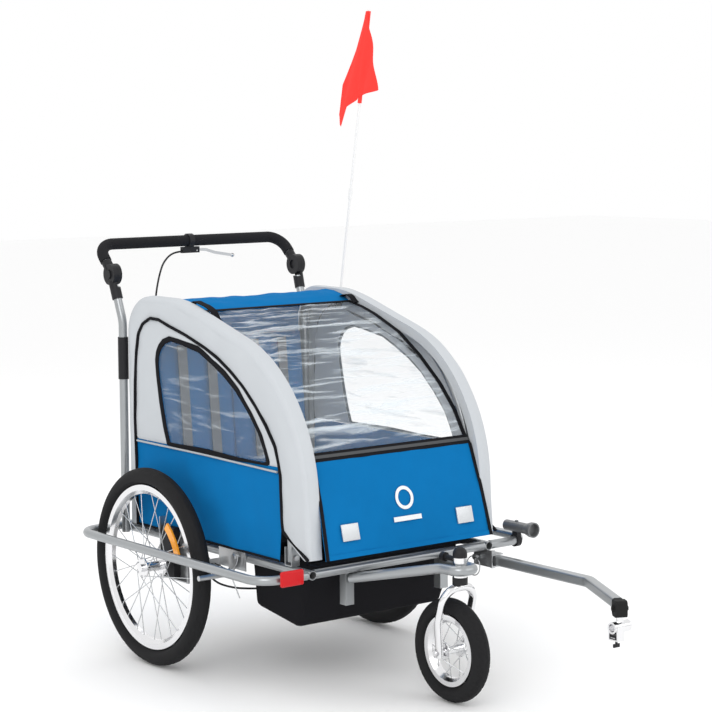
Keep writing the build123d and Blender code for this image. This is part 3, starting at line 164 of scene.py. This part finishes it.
# ------------------------------------------------------------ rims and spokes
# Rolled and polished alloy rims laced with stainless wire, and a prismatic reflector in each wheel.
dress(finish("polished_rim", (0.80, 0.80, 0.81), 0.16, 1.0, 60, 0.02), "right_rim", "left_rim", "front_rim")
dress(finish("spoke_wire", (0.62, 0.63, 0.64), 0.25, 1.0), "right_spokes", "left_spokes", "front_spokes")
amber = finish("amber_reflector", (0.95, 0.36, 0.01), 0.22, 0.0, 700, 0.5, Coat_Weight=0.6)
dress(amber, "right_spoke_reflector", "left_spoke_reflector")


# -------------------------------------------------------------------- tyres
# Moulded black tyres. A shallow zig-zag tread runs round the crown and dies out on the side wall.
tyre_black = finish("tyre_rubber", (0.012, 0.012, 0.013), 0.75, 0.0, 350, 0.2, Specular_IOR_Level=0.2)


def tyre(name, centre, radius, depth, half, bead_half, repeats, segments):
    """A tyre turned from a torus, with grooves sunk into its crown."""
    bpy.ops.object.select_all(action="DESELECT")
    bpy.ops.mesh.primitive_torus_add(major_segments=segments, minor_segments=44, major_radius=radius,
                                     minor_radius=depth / 2)
    ring = bpy.context.object
    ring.name = name
    for vertex in ring.data.vertices:
        around = math.atan2(vertex.co.y, vertex.co.x)
        across = math.atan2(vertex.co.z, math.hypot(vertex.co.x, vertex.co.y) - radius)
        x = half * math.sin(across)
        r = radius - depth / 2 + depth / 2 * math.cos(across)
        if r < radius - depth * 0.72:
            share = min(1.0, (radius - depth * 0.72 - r) / (depth * 0.28))
            x *= 1 - share * (1 - bead_half / half)
        crown = max(0.0, min(1.0, (math.cos(across) - 0.35) / 0.2))
        phase = around * repeats / (2 * math.pi)
        swing = abs((phase % 1.0) - 0.5) * 4 - 1
        groove = 0.0
        for middle in (-0.55, 0.0, 0.55):
            gap = abs(math.sin(across) - middle - 0.12 * swing)
            groove = max(groove, 1 - min(1.0, gap / 0.075))
        bar_line = abs(((phase * 2 + abs(math.sin(across)) * 0.8) % 1.0) - 0.5) * 2
        if 0.3 < abs(math.sin(across)) < 0.85:
            groove = max(groove, 1 - min(1.0, (1 - bar_line) / 0.16))
        r -= 0.0026 * groove * crown
        vertex.co = (centre[0] + x, centre[1] + r * math.cos(around), centre[2] + r * math.sin(around))
    bpy.ops.object.mode_set(mode="EDIT")
    bpy.ops.mesh.select_all(action="SELECT")
    bpy.ops.mesh.normals_make_consistent(inside=False)
    bpy.ops.object.mode_set(mode="OBJECT")
    bpy.ops.object.shade_smooth()
    ring.data.materials.append(tyre_black)
    return ring


for side, word in ((-1, "right"), (1, "left")):
    worn = tyre(f"{word}_tread", (side * 0.353, AXLE, 0.25), 0.2495, 0.0445, 0.0225, 0.0094, 60, 540)
    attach(worn, f"{word}_wheel")
    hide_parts(f"{word}_tyre")
small = tyre("front_tread", (0, -0.748 + AXLE, 0.124), 0.1235, 0.0415, 0.0225, 0.0104, 34, 340)
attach(small, "front_wheel")
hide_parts("front_tyre")


# -------------------------------------------------------------- side covers
# Coated woven cloth: a white band that wraps over the arch, a white surround with a clear window,
# and a blue door below the waist. Black piping covers the seams, and a grey cord marks the waist.
SIDE = 0.2858                     # outer face of the side cloth
BAND_INNER = 0.2465
blue = finish("blue_cloth", (0.003, 0.152, 0.400), 0.85, 0.0, 900, 0.25, 0.08, Specular_IOR_Level=0.06)
white = finish("white_cloth", (0.53, 0.555, 0.58), 0.85, 0.0, 900, 0.25, 0.03, Specular_IOR_Level=0.1)
black_cloth = finish("black_cloth", (0.010, 0.010, 0.012), 0.9, 0.0, 900, 0.3, Specular_IOR_Level=0.1)
grey_cord = finish("grey_reflective", (0.42, 0.44, 0.46), 0.4, 0.2)
clear = finish("clear_film", (0.80, 0.88, 0.93), 0.08, 0.0, 30, 0.10, Alpha=0.16, Coat_Weight=1.0)
pane_film = finish("side_window_film", (0.80, 0.88, 0.93), 0.08, 0.0, 30, 0.10, Alpha=0.16, Coat_Weight=1.0)


def milky_streaks_and_painted_glints(film, turned, scale, low, high, most):
    """Long whiter streaks in a soft film, drawn by stretched noise in its opacity: partly the film's own
    milkiness, partly painted glints that stand in for the highlights on its creases.
    """
    film.surface_render_method = "BLENDED"
    nodes, links = film.node_tree.nodes, film.node_tree.links
    place = nodes.new("ShaderNodeTexCoord")
    lean = nodes.new("ShaderNodeMapping")
    lean.inputs["Rotation"].default_value = turned
    lean.inputs["Scale"].default_value = scale
    streak = nodes.new("ShaderNodeTexNoise")
    streak.inputs["Scale"].default_value = 3.4
    streak.inputs["Detail"].default_value = 4.0
    streak.inputs["Distortion"].default_value = 0.5
    painted_glint_opacity = nodes.new("ShaderNodeMapRange")
    painted_glint_opacity.inputs["From Min"].default_value = low
    painted_glint_opacity.inputs["From Max"].default_value = high
    painted_glint_opacity.inputs["To Min"].default_value = 0.06
    painted_glint_opacity.inputs["To Max"].default_value = most
    links.new(place.outputs["Object"], lean.inputs["Vector"])
    links.new(lean.outputs["Vector"], streak.inputs["Vector"])
    links.new(streak.outputs["Fac"], painted_glint_opacity.inputs["Value"])
    links.new(painted_glint_opacity.outputs["Result"], nodes["Principled BSDF"].inputs["Alpha"])


# Painted highlights: these opacity streaks whiten the front and side films along their creases in place of glints.
milky_streaks_and_painted_glints(clear, (0.0, math.radians(-9), math.radians(6)), (1.4, 17.0, 17.0), 0.50, 0.74, 0.55)
milky_streaks_and_painted_glints(pane_film, (math.radians(12), 0.0, 0.0), (1.0, 1.6, 13.0), 0.55, 0.80, 0.40)


def rounded(corners, radii, steps=10):
    """A line through corners with an arc of the given radius at each inner one."""
    line = [corners[0]]
    for before, here, after, radius in zip(corners, corners[1:], corners[2:], radii):
        a = Vector((before[0] - here[0], before[1] - here[1])).normalized()
        b = Vector((after[0] - here[0], after[1] - here[1])).normalized()
        half = a.angle(b) / 2
        reach = radius / math.tan(half)
        middle = Vector(here) + (a + b).normalized() * radius / math.sin(half)
        first, last = Vector(here) + a * reach - middle, Vector(here) + b * reach - middle
        sweep = first.angle_signed(last)
        for i in range(steps + 1):
            arm = first.copy()
            arm.rotate(Matrix.Rotation(-sweep * i / steps, 2))
            line.append(tuple(middle + arm))
    return line + [corners[-1]]


def spaced(line, count):
    """Points at equal steps along a line, ends included."""
    lengths = [0.0]
    for a, b in zip(line, line[1:]):
        lengths.append(lengths[-1] + math.dist(a, b))
    points, k = [], 0
    for i in range(count + 1):
        want = lengths[-1] * i / count
        while k < len(line) - 2 and lengths[k + 1] < want:
            k += 1
        span = lengths[k + 1] - lengths[k] or 1e-9
        share = (want - lengths[k]) / span
        points.append(tuple(p + (q - p) * share for p, q in zip(line[k], line[k + 1])))
    return points


def at(points, share):
    """The point a share of the way along evenly spaced points."""
    place = max(0.0, min(1.0, share)) * (len(points) - 1)
    k = min(int(place), len(points) - 2)
    return tuple(p + (q - p) * (place - k) for p, q in zip(points[k], points[k + 1]))


def cloth(name, columns, rows, place, material, thickness=0.0012):
    """A sheet whose points are placed by the share along its width and its length."""
    bpy.ops.object.select_all(action="DESELECT")
    bpy.ops.mesh.primitive_grid_add(x_subdivisions=columns, y_subdivisions=rows, size=2)
    sheet = bpy.context.object
    sheet.name = name
    for vertex in sheet.data.vertices:
        vertex.co = place((vertex.co.x + 1) / 2, (vertex.co.y + 1) / 2)
    bpy.ops.object.mode_set(mode="EDIT")
    bpy.ops.mesh.select_all(action="SELECT")
    bpy.ops.mesh.remove_doubles(threshold=0.00005)
    bpy.ops.mesh.normals_make_consistent(inside=False)
    bpy.ops.object.mode_set(mode="OBJECT")
    if thickness:
        wall = sheet.modifiers.new("wall", "SOLIDIFY")
        wall.thickness = thickness
        wall.offset = 0
        bpy.ops.object.modifier_apply(modifier="wall")
        bpy.ops.object.mode_set(mode="EDIT")
        bpy.ops.mesh.select_all(action="SELECT")
        bpy.ops.mesh.normals_make_consistent(inside=False)
        bpy.ops.object.mode_set(mode="OBJECT")
    bpy.ops.object.shade_smooth_by_angle(angle=math.radians(55))
    sheet.data.materials.append(material)
    return sheet


def cord(name, points, radius, material, closed=False):
    """A round piping or strap edge along points."""
    bpy.ops.object.select_all(action="DESELECT")
    curve = bpy.data.curves.new(name, "CURVE")
    curve.dimensions = "3D"
    spline = curve.splines.new("POLY")
    spline.points.add(len(points) - 1)
    for knot, point in zip(spline.points, points):
        knot.co = (*point, 1)
    spline.use_cyclic_u = closed
    curve.bevel_depth = radius
    curve.bevel_resolution = 2
    curve.use_fill_caps = True
    line = bpy.data.objects.new(name, curve)
    bpy.context.collection.objects.link(line)
    line.select_set(True)
    bpy.context.view_layer.objects.active = line
    bpy.ops.object.convert(target="MESH")
    made = bpy.context.object
    bpy.ops.object.shade_smooth()
    made.data.materials.clear()
    made.data.materials.append(material)
    return made


def ruck(a, b, seed, size=1.0):
    """How far a hand-sewn sheet stands off flat at a place on it."""
    first = math.sin(a * 31 + b * 17 + seed) * math.sin(b * 23 - a * 9 + seed * 1.7)
    second = math.sin(a * 67 - b * 41 + seed * 2.3) * 0.4 + math.sin(b * 88 + a * 29 + seed) * 0.25
    return (first + second) * 0.0016 * size


def metres(points):
    """Axle-centred millimetres to metres in the trailer's frame."""
    return [(y / 1000 + AXLE, z / 1000) for y, z in points]


outer_line = spaced(metres(rounded([(-574, 344), (-548, 762), (-23, 918), (209, 918), (209, 326)],
                                   [385, 400, 98], 16)), 200)
door_edge = [(-478, 402), (-475, 428), (-472, 500), (-471, 531), (-464, 563), (-450, 600), (-414, 645),
             (-374, 686), (-321, 730), (-268, 762), (-214, 789), (-159, 810), (-73, 835), (2, 852), (50, 865),
             (92, 866), (126, 850), (149, 823), (160, 776), (169, 696), (173, 603), (169, 470), (169, 326)]
seam_line = spaced(metres(door_edge), 200)
WAIST = 0.551                     # the grey cord: white cloth above it, blue below
upper_loop = metres([(-466, 551)] + door_edge[4:-3] + [(172, 551)])
window_loop = metres([(13, 554), (29, 595), (45, 655), (58, 722), (62, 757), (57, 780), (45, 797), (27, 811),
                      (-3, 820), (-49, 815), (-130, 803), (-186, 780), (-240, 754), (-294, 719), (-346, 671),
                      (-388, 624), (-410, 585), (-420, 562), (-420, 553), (-300, 552), (-150, 553)])
DOOR_MIDDLE = (-0.150 + AXLE, 0.650)


def seen_from(middle, loop, angle):
    """Where a ray from the middle meets a closed loop."""
    away = (math.cos(angle), math.sin(angle))
    best = 0.0
    for a, b in zip(loop, loop[1:] + loop[:1]):
        edge = (b[0] - a[0], b[1] - a[1])
        cross = away[0] * edge[1] - away[1] * edge[0]
        if abs(cross) < 1e-12:
            continue
        to = (a[0] - middle[0], a[1] - middle[1])
        reach = (to[0] * edge[1] - to[1] * edge[0]) / cross
        share = (to[0] * away[1] - to[1] * away[0]) / cross
        if reach > 0 and -1e-9 <= share <= 1 + 1e-9:
            best = max(best, reach)
    return (middle[0] + away[0] * best, middle[1] + away[1] * best)


RAYS = 264
upper_ring = [seen_from(DOOR_MIDDLE, upper_loop, 2 * math.pi * i / RAYS) for i in range(RAYS + 1)]
window_ring = [seen_from(DOOR_MIDDLE, window_loop, 2 * math.pi * i / RAYS) for i in range(RAYS + 1)]


def between(low, high, share):
    return (low[0] + (high[0] - low[0]) * share, low[1] + (high[1] - low[1]) * share)


for side, word in ((-1, "right"), (1, "left")):
    body = f"{word}_side"
    node = f"{word}_side_cover"

    def band_place(along, across):
        """From the door seam, out to the edge, round over the arch and down inside it."""
        inner, rim_point = at(seam_line, along), at(outer_line, along)
        ahead, behind = at(outer_line, along + 0.01), at(outer_line, along - 0.01)
        way = Vector((ahead[0] - behind[0], ahead[1] - behind[1])).normalized()
        out = Vector((-way.y, way.x))
        bend = 0.013
        puff = 0.5 + 0.5 * math.sin(along * 60 + math.sin(along * 23) * 2)
        if across < 0.45:
            share = across / 0.45
            foot = Vector(rim_point) - out * bend
            y, z = between(inner, foot, share)
            x = SIDE + 0.0035 * math.sin(math.pi * share) + ruck(y, z, 2 * side, 0.9)
            return (side * x, y, z)
        if across < 0.65:
            turn_share = (across - 0.45) / 0.2 * math.pi / 2
            middle = Vector(rim_point) - out * bend
            edge = middle + out * (bend * math.sin(turn_share) + 0.001 * puff)
            return (side * (SIDE - bend + bend * math.cos(turn_share)), edge.x, edge.y)
        if across < 0.9:
            share = (across - 0.65) / 0.25
            x = SIDE - bend - (SIDE - bend - BAND_INNER) * share
            lift = 0.0018 * math.sin(math.pi * share) * puff
            edge = Vector(rim_point) + out * (lift + 0.0004)
            return (side * x, edge.x, edge.y)
        share = (across - 0.9) / 0.1
        edge = Vector(rim_point) - out * 0.024 * share
        return (side * BAND_INNER, edge.x, edge.y)

    band = cloth(f"{word}_white_band", 170, 40, band_place, white, 0.0016)
    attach(band, body)
    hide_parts(node)

    def upper_place(turn_share, out_share):
        y, z = between(at(window_ring, turn_share), at(upper_ring, turn_share), out_share)
        x = SIDE - 0.0005 + 0.002 * math.sin(math.pi * out_share) + ruck(y, z, 5 * side, 0.5)
        return (side * x, y, z)

    upper = cloth(f"{word}_window_surround", RAYS, 12, upper_place, white, 0.0012)
    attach(upper, body)
    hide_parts(node)

    def door_place(along, up):
        z = 0.327 + (WAIST - 0.001 - 0.327) * up
        front = -0.4600 - 0.0105 * min(1.0, (z - 0.327) / 0.14) + 0.004 * max(0.0, (z - 0.50) / 0.05)
        y = AXLE + front + (0.1695 + 0.002 * up - front) * along
        swell = 0.0075 * math.sin(math.pi * up) * math.sin(math.pi * min(1, along)) ** 0.5
        x = SIDE - 0.0008 + swell + ruck(y, z, 5 * side, 0.9)
        return (side * x, y, z)

    door = cloth(f"{word}_door", 150, 56, door_place, blue, 0.0012)
    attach(door, body)
    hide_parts(node)

    def pane_place(turn_share, out_share):
        y, z = between(DOOR_MIDDLE, at(window_ring, turn_share), max(out_share, 0.004))
        fold = 0.0022 * math.sin(y * 46 + z * 60 + math.sin(z * 31) * 2) * math.sin(math.pi * out_share)
        return (side * (SIDE - 0.001 + fold), y, z)

    pane = cloth(f"{word}_window", RAYS, 24, pane_place, pane_film, 0.0006)
    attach(pane, body)
    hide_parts(node)

    def binding_place(turn_share, across):
        y, z = at(window_ring, turn_share)
        away = Vector((y - DOOR_MIDDLE[0], z - DOOR_MIDDLE[1])).normalized() * (across - 0.45) * 0.016
        return (side * (SIDE + 0.0022 + 0.001 * math.sin(math.pi * across)), y + away.x, z + away.y)

    binding = cloth(f"{word}_window_binding", RAYS, 3, binding_place, black_cloth, 0.0016)
    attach(binding, body)
    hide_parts(node)

    edge_line = [(side * (SIDE + 0.0025), y, z) for y, z in spaced(metres([(-576, 347)] + door_edge), 150)]
    seam = cord(f"{word}_door_piping", edge_line, 0.0040, black_cloth)
    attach(seam, body)
    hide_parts(node)
    waist = [(side * (SIDE + 0.0045), y, z) for y, z in spaced(metres([(161, 546), (-150, 545), (-461, 540)]), 60)]
    line = cord(f"{word}_grey_piping", waist, 0.0028, grey_cord)
    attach(line, body)
    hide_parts(node)
    hem = [(side * (SIDE + 0.0008), y, z) for y, z in spaced(metres([(169, 328), (36, 328)]), 20)]
    low_hem = cord(f"{word}_rear_hem", hem, 0.0030, black_cloth)
    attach(low_hem, body)
    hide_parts(node)
    hem = [(side * (SIDE + 0.0008), y, z) for y, z in spaced(metres([(-93, 328), (-460, 328)]), 40)]
    front_hem = cord(f"{word}_front_hem", hem, 0.0030, black_cloth)
    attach(front_hem, body)
    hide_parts(node)


# ------------------------------------------- roof, front window and front panel
# Cloth stretched between the arches: a blue roof, a clear front window bound in black, and a
# blue apron below it. Each is cut as two halves that meet on the middle line.
HALF = 0.2435
WINDOW_LINE = spaced(metres([(-47, 888), (-105, 876), (-160, 860), (-260, 820), (-342, 767), (-418, 706),
                             (-475, 645), (-511, 588), (-531, 563)]), 60)
ROOF_LINE = spaced(metres([(-47, 888), (-15, 904), (20, 913), (60, 914), (100, 909), (140, 896), (168, 874),
                           (184, 846)]), 40)
APRON_LINE = spaced(metres([(-533, 565), (-548, 520), (-566, 470), (-584, 405), (-600, 344)]), 40)
FLAP_LINE = spaced(metres([(-515, 582), (-531, 563)]), 6)
dark_grey = finish("dark_grey_cloth", (0.055, 0.058, 0.062), 0.7, 0.0, 900, 0.3)
BACK_LINE = spaced(metres([(184, 846), (184, 330)]), 40)


def spanned(name, side, line, material, node, sag, pleat, columns=70, rows=90, seed=1.0,
            reach=HALF, thickness=0.0012, flare=0.0, lift=0.0, low=0.0, high=1.0, crease=0.0):
    """One half of a cloth between the arches, following its profile line."""

    def place(out_share, down):
        y, z = at(line, down)
        ahead, behind = at(line, down + 0.02), at(line, down - 0.02)
        way = Vector((ahead[0] - behind[0], ahead[1] - behind[1])).normalized()
        out = Vector((way.y, -way.x))
        if out.y < 0 and abs(way.x) > abs(way.y):
            out = -out
        if abs(way.y) >= abs(way.x) and name.find("back") < 0 and out.x > 0:
            out = -out
        span = low + (high - low) * out_share
        x = side * (reach + flare * down) * span
        off = -sag * math.cos(math.pi * span / 2) * math.sin(math.pi * min(1, max(0, down))) + lift
        off += ruck(x * 1.5, y + z, seed, pleat)
        if crease:
            drift = down * 62 + x * 9 + 1.6 * math.sin(x * 13 + down * 5) + 0.8 * math.sin(x * 31)
            ridge = (0.5 + 0.5 * math.sin(drift)) ** 4 + 0.6 * (0.5 + 0.5 * math.sin(drift * 1.73 + x * 21)) ** 6
            fade = math.sin(math.pi * min(1, max(0, down))) * (1 - 0.65 * min(1, max(0, (x + 0.05) / 0.25)))
            off += crease * ridge * fade * (0.6 + 0.4 * math.sin(x * 17 + down * 11))
        return (x, y + out.x * off, z + out.y * off)

    made = cloth(name, columns, rows, place, material, thickness)
    y, z = at(line, 0.5)
    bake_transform(made)
    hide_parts(node)
    return made


for side, word in ((-1, "right"), (1, "left")):
    spanned(f"{word}_roof", side, ROOF_LINE, blue, "roof", 0.004, 1.0, seed=3)
    spanned(f"{word}_front_window", side, WINDOW_LINE, clear, "front_cover", 0.006, 0.8,
            columns=80, rows=230, seed=7, thickness=0.0006, crease=0.0042)
    spanned(f"{word}_front_panel", side, APRON_LINE, blue, "front_panel", -0.003, 0.7,
            seed=11, flare=0.011)
    spanned(f"{word}_back_panel", side, BACK_LINE, blue, "rear_panel", 0.003, 0.7, seed=13)
    spanned(f"{word}_front_binding", side, WINDOW_LINE, black_cloth, "front_cover", 0.0, 0.0,
            columns=4, low=0.955, high=1.0, lift=0.0022, thickness=0.002)
    spanned(f"{word}_apron_binding", side, APRON_LINE, black_cloth, "front_panel", 0.0, 0.0,
            columns=4, low=0.965, high=1.0, lift=0.0028, thickness=0.002, flare=0.011)
    spanned(f"{word}_flap_band", side, FLAP_LINE, black_cloth, "front_cover", 0.0, 0.0,
            columns=40, rows=6, lift=0.0030, thickness=0.003)
    spanned(f"{word}_flap_stripe", side, FLAP_LINE[2:5], dark_grey, "front_cover", 0.0, 0.0,
            columns=40, rows=4, lift=0.0052, thickness=0.001)
    spanned(f"{word}_roof_seam", side, WINDOW_LINE[:2], black_cloth, "front_cover", 0.0, 0.0,
            columns=40, rows=4, lift=0.0020, thickness=0.002)
    spanned(f"{word}_apron_hem", side, APRON_LINE[-3:], blue, "front_panel", 0.0, 0.0,
            columns=40, rows=4, lift=0.0012, thickness=0.0025, reach=HALF + 0.010)


# -------------------------------------------------- corner loops and the mark
# Black webbing loops sewn over the roof's front corners, and a plain printed ring on the apron.
LOOPS = {-1: [(12, 866), (-8, 898), (-48, 914), (-92, 908), (-128, 893), (-158, 852)],
         1: [(-3, 868), (-18, 897), (-45, 908), (-68, 900), (-84, 886)]}
for side, word in ((-1, "right"), (1, "left")):
    loop_line = spaced(metres(rounded(LOOPS[side], [22] * (len(LOOPS[side]) - 2), 6)), 60)

    def loop_place(across, along):
        y, z = at(loop_line, along)
        return (side * (0.228 + 0.020 * across), y, z + 0.001 * math.sin(along * 20))

    loop = cloth(f"{word}_corner_loop", 4, 60, loop_place, black_cloth, 0.0022)
    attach(loop, f"{word}_side")
    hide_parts(f"{word}_side_cover")

mark_white = finish("printed_white", (0.80, 0.81, 0.82), 0.6, 0.0, 900, 0.2)


def on_apron(x, z, lift):
    """A point on the apron's outside at a width and height."""
    for (y0, z0), (y1, z1) in zip(APRON_LINE, APRON_LINE[1:]):
        if z1 <= z <= z0:
            return (x, y0 + (y1 - y0) * (z0 - z) / (z0 - z1) - lift, z)
    return (x, APRON_LINE[-1][0] - lift, z)


def ring_place(turn_share, across):
    around = turn_share * 2 * math.pi
    size = 0.019 + 0.008 * across
    return on_apron(size * math.cos(around), 0.462 + size * math.sin(around), 0.0062)


def dash_place(across, up):
    return on_apron(-0.042 + 0.084 * across, 0.409 + 0.011 * up, 0.0062)


for name, across, along, place in (("mark_ring", 60, 3, ring_place), ("mark_dash", 16, 3, dash_place)):
    print_on = cloth(name, across, along, place, mark_white, 0.0006)
    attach(print_on, "chassis")
    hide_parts("front_panel")


# ------------------------------------------------------------ seat and belts
# A bench and a back rest of foam in blue cloth, hung from the arches, with grey shoulder belts.
SEAT_LOW = 0.425
webbing = finish("grey_webbing", (0.20, 0.21, 0.22), 0.7, 0.0, 1200, 0.4)


def pad(name, corner, across, along, up, thick, seed):
    """A stuffed pad: a cube cut fine, its faces crowned and its edges drawn in."""
    bpy.ops.object.select_all(action="DESELECT")
    bpy.ops.mesh.primitive_cube_add(size=2)
    block = bpy.context.object
    block.name = name
    bpy.ops.object.mode_set(mode="EDIT")
    bpy.ops.mesh.select_all(action="SELECT")
    bpy.ops.mesh.subdivide(number_cuts=23)
    bpy.ops.object.mode_set(mode="OBJECT")
    for vertex in block.data.vertices:
        u, v, w = vertex.co
        fall = (1 - abs(u) ** 6) * (1 - abs(v) ** 6)
        swell = 0.35 + 0.65 * fall ** 0.35
        u = u * (1 - 0.012 * w * w)
        v = v * (1 - 0.012 * w * w)
        tuck = ruck(u * 0.3, v * 0.3, seed, 1.2) / thick
        point = Vector(corner) + Vector(across) * (u + 1) / 2 + Vector(along) * (v + 1) / 2
        point += Vector(up) * (thick * (0.5 + 0.5 * w * swell) + (tuck * thick if w > 0 else 0))
        vertex.co = point
    bpy.ops.object.mode_set(mode="EDIT")
    bpy.ops.mesh.select_all(action="SELECT")
    bpy.ops.mesh.normals_make_consistent(inside=False)
    bpy.ops.object.mode_set(mode="OBJECT")
    bpy.ops.object.shade_smooth()
    block.data.materials.append(blue)
    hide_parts("seat")
    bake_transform(block)
    return block


for side, word in ((-1, "right"), (1, "left")):
    pad(f"{word}_bench", (side * 0.001, AXLE - 0.110, SEAT_LOW), (side * 0.233, 0, 0), (0, 0.226, 0),
        (0, 0, 1), 0.027, 2 * side)
    pad(f"{word}_back_rest", (side * 0.001, AXLE + 0.122, SEAT_LOW), (side * 0.233, 0, 0),
        (0, 0.033, 0.372), (0, 1, -0.08), 0.024, 4 * side)
    for inner in (0.055, 0.145):
        def belt_place(across, up):
            x = side * (inner + 0.028 * across)
            z = 0.475 + 0.310 * up
            return (x, AXLE + 0.117 + 0.0875 * (z - SEAT_LOW) - 0.003, z)

        belt = cloth(f"{word}_belt_{'inner' if inner < 0.1 else 'outer'}", 4, 24, belt_place, webbing, 0.0016)
        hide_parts("harness")
        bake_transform(belt)


# ---------------------------------------------------------------- foot well
# A stiff black cloth tub hung between the rails, with the floor sheet behind and ahead of it.
bpy.ops.object.select_all(action="DESELECT")
bpy.ops.mesh.primitive_cube_add(size=2)
tub = bpy.context.object
tub.name = "foot_well"
for vertex in tub.data.vertices:
    high = vertex.co.z > 0
    back = vertex.co.y > 0
    x = math.copysign(0.228 if high else 0.222, vertex.co.x)
    if back:
        y, z = (-0.2555, 0.322) if high else (-0.2640, 0.178)
    else:
        y, z = (-0.5115, 0.322) if high else (-0.4400, 0.152)
    vertex.co = (x, y + AXLE, z)
bpy.ops.object.mode_set(mode="EDIT")
bpy.ops.mesh.select_mode(type="FACE")
bpy.ops.mesh.select_all(action="DESELECT")
bpy.ops.object.mode_set(mode="OBJECT")
for face in tub.data.polygons:
    face.select = face.normal.z > 0.9
bpy.ops.object.mode_set(mode="EDIT")
bpy.ops.mesh.delete(type="FACE")
bpy.ops.mesh.select_all(action="SELECT")
bpy.ops.mesh.bevel(offset=0.014, segments=3, affect="EDGES")
bpy.ops.mesh.subdivide(number_cuts=5)
bpy.ops.mesh.remove_doubles(threshold=0.0002)
bpy.ops.mesh.normals_make_consistent(inside=False)
bpy.ops.object.mode_set(mode="OBJECT")
wall = tub.modifiers.new("wall", "SOLIDIFY")
wall.thickness = 0.002
bpy.ops.object.modifier_apply(modifier="wall")
bpy.ops.object.shade_smooth_by_angle(angle=math.radians(40))
tub.data.materials.append(black_cloth)
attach(tub, "chassis")
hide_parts("floor_pan")
for name, front, rear in (("rear_floor", -0.257, 0.154), ("front_floor", -0.552, -0.510)):
    def floor_place(across, along):
        y = front + (rear - front) * along
        return (-0.248 + 0.496 * across, y + AXLE, 0.3222 + ruck(across, y, 9, 0.3))

    ground = cloth(name, 40, 30, floor_place, black_cloth, 0.002)
    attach(ground, "chassis")
    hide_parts("floor_pan")


# --------------------------------------------------------------- reflectors
# Moulded plastic reflectors: a red one clamped to the right guard, and two pale ones on the apron.
red = finish("red_reflector", (0.55, 0.004, 0.008), 0.25, 0.0, 500, 0.6, Specular_IOR_Level=0.3)
pale = finish("pale_reflector", (0.60, 0.62, 0.64), 0.18, 0.5, 500, 0.6, Coat_Weight=0.8)


def tile(name, centre, size, lean, material, round_by):
    """A flat moulded tile with softened corners and edges."""
    bpy.ops.object.select_all(action="DESELECT")
    bpy.ops.mesh.primitive_cube_add(size=1, location=centre, rotation=(lean, 0, 0))
    made = bpy.context.object
    made.name = name
    made.scale = size
    bpy.ops.object.transform_apply(location=True, rotation=True, scale=True)
    soft = made.modifiers.new("soft", "BEVEL")
    soft.width = round_by
    soft.segments = 4
    bpy.ops.object.modifier_apply(modifier="soft")
    bpy.ops.object.shade_smooth_by_angle(angle=math.radians(35))
    made.data.materials.append(material)
    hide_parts("reflectors")
    return made


front_red = tile("red_reflector", (-0.338, -0.5815 + AXLE, 0.314), (0.065, 0.011, 0.037), 0, red,
                 0.006)
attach(front_red, "chassis")
for side, word in ((-1, "right"), (1, "left")):
    plate = tile(f"{word}_panel_reflector", (side * 0.175, -0.5905 + AXLE, 0.402), (0.050, 0.004, 0.040),
                 math.radians(-14.5), pale, 0.0015)
    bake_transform(plate)


# --------------------------------------------------------------- safety flag
# A limp pennant of thin fluorescent nylon, sewn to a sleeve on a white glass-fibre pole.
dress(finish("pole_fibre", (0.80, 0.80, 0.80), 0.35), "flag_pole")
flame = finish("flag_nylon", (0.95, 0.055, 0.045), 0.8, 0.0, 900, 0.2, 0.05, Specular_IOR_Level=0.1)
pole_foot, pole_top = Vector((0.292, 0.075 + AXLE, 0.800)), Vector((0.335, -0.024 + AXLE, 1.652))
down = (pole_foot - pole_top).normalized()
sidewards = Vector((0, -1, 0)) - down * down.dot(Vector((0, -1, 0)))
sidewards.normalize()
facing = down.cross(sidewards).normalized()
if facing.x > 0:
    facing = -facing


def sleeve_place(round_share, along):
    turn_by = round_share * 2 * math.pi
    arm = sidewards * math.cos(turn_by) + facing * math.sin(turn_by)
    return pole_top + down * (0.005 + 0.242 * along) + arm * 0.0052


sleeve = cloth("flag_sleeve", 20, 30, sleeve_place, flame, 0.0008)
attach(sleeve, "flag")
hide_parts("flag")


FLAG_EDGES = [((0.006, 0.003), (0.006, -0.006)), ((0.056, 0.020), (0.056, -0.019)),
              ((0.106, 0.040), (0.106, -0.034)), ((0.156, 0.059), (0.156, -0.057)),
              ((0.206, 0.076), (0.206, -0.079)), ((0.228, 0.006), (0.248, -0.082)),
              ((0.262, -0.044), (0.286, -0.083)), ((0.316, -0.060), (0.312, -0.066))]


def pennant_place(across, along):
    """Limp on both sides of the pole, with the tip hanging lowest behind it."""
    place = along * (len(FLAG_EDGES) - 1)
    k = min(int(place), len(FLAG_EDGES) - 2)
    front = between(FLAG_EDGES[k][0], FLAG_EDGES[k + 1][0], place - k)
    back = between(FLAG_EDGES[k][1], FLAG_EDGES[k + 1][1], place - k)
    point = between(front, back, across)
    over_sleeve = max(0.0, 1 - abs(point[1]) / 0.012)
    wave = 0.004 * math.sin(point[1] * 90 + point[0] * 22) * (1 - over_sleeve)
    return pole_top + down * point[0] + sidewards * point[1] + facing * (0.0045 + 0.0022 * over_sleeve + wave)


pennant = cloth("flag_pennant", 60, 90, pennant_place, flame, 0.0006)
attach(pennant, "flag")
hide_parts("flag")
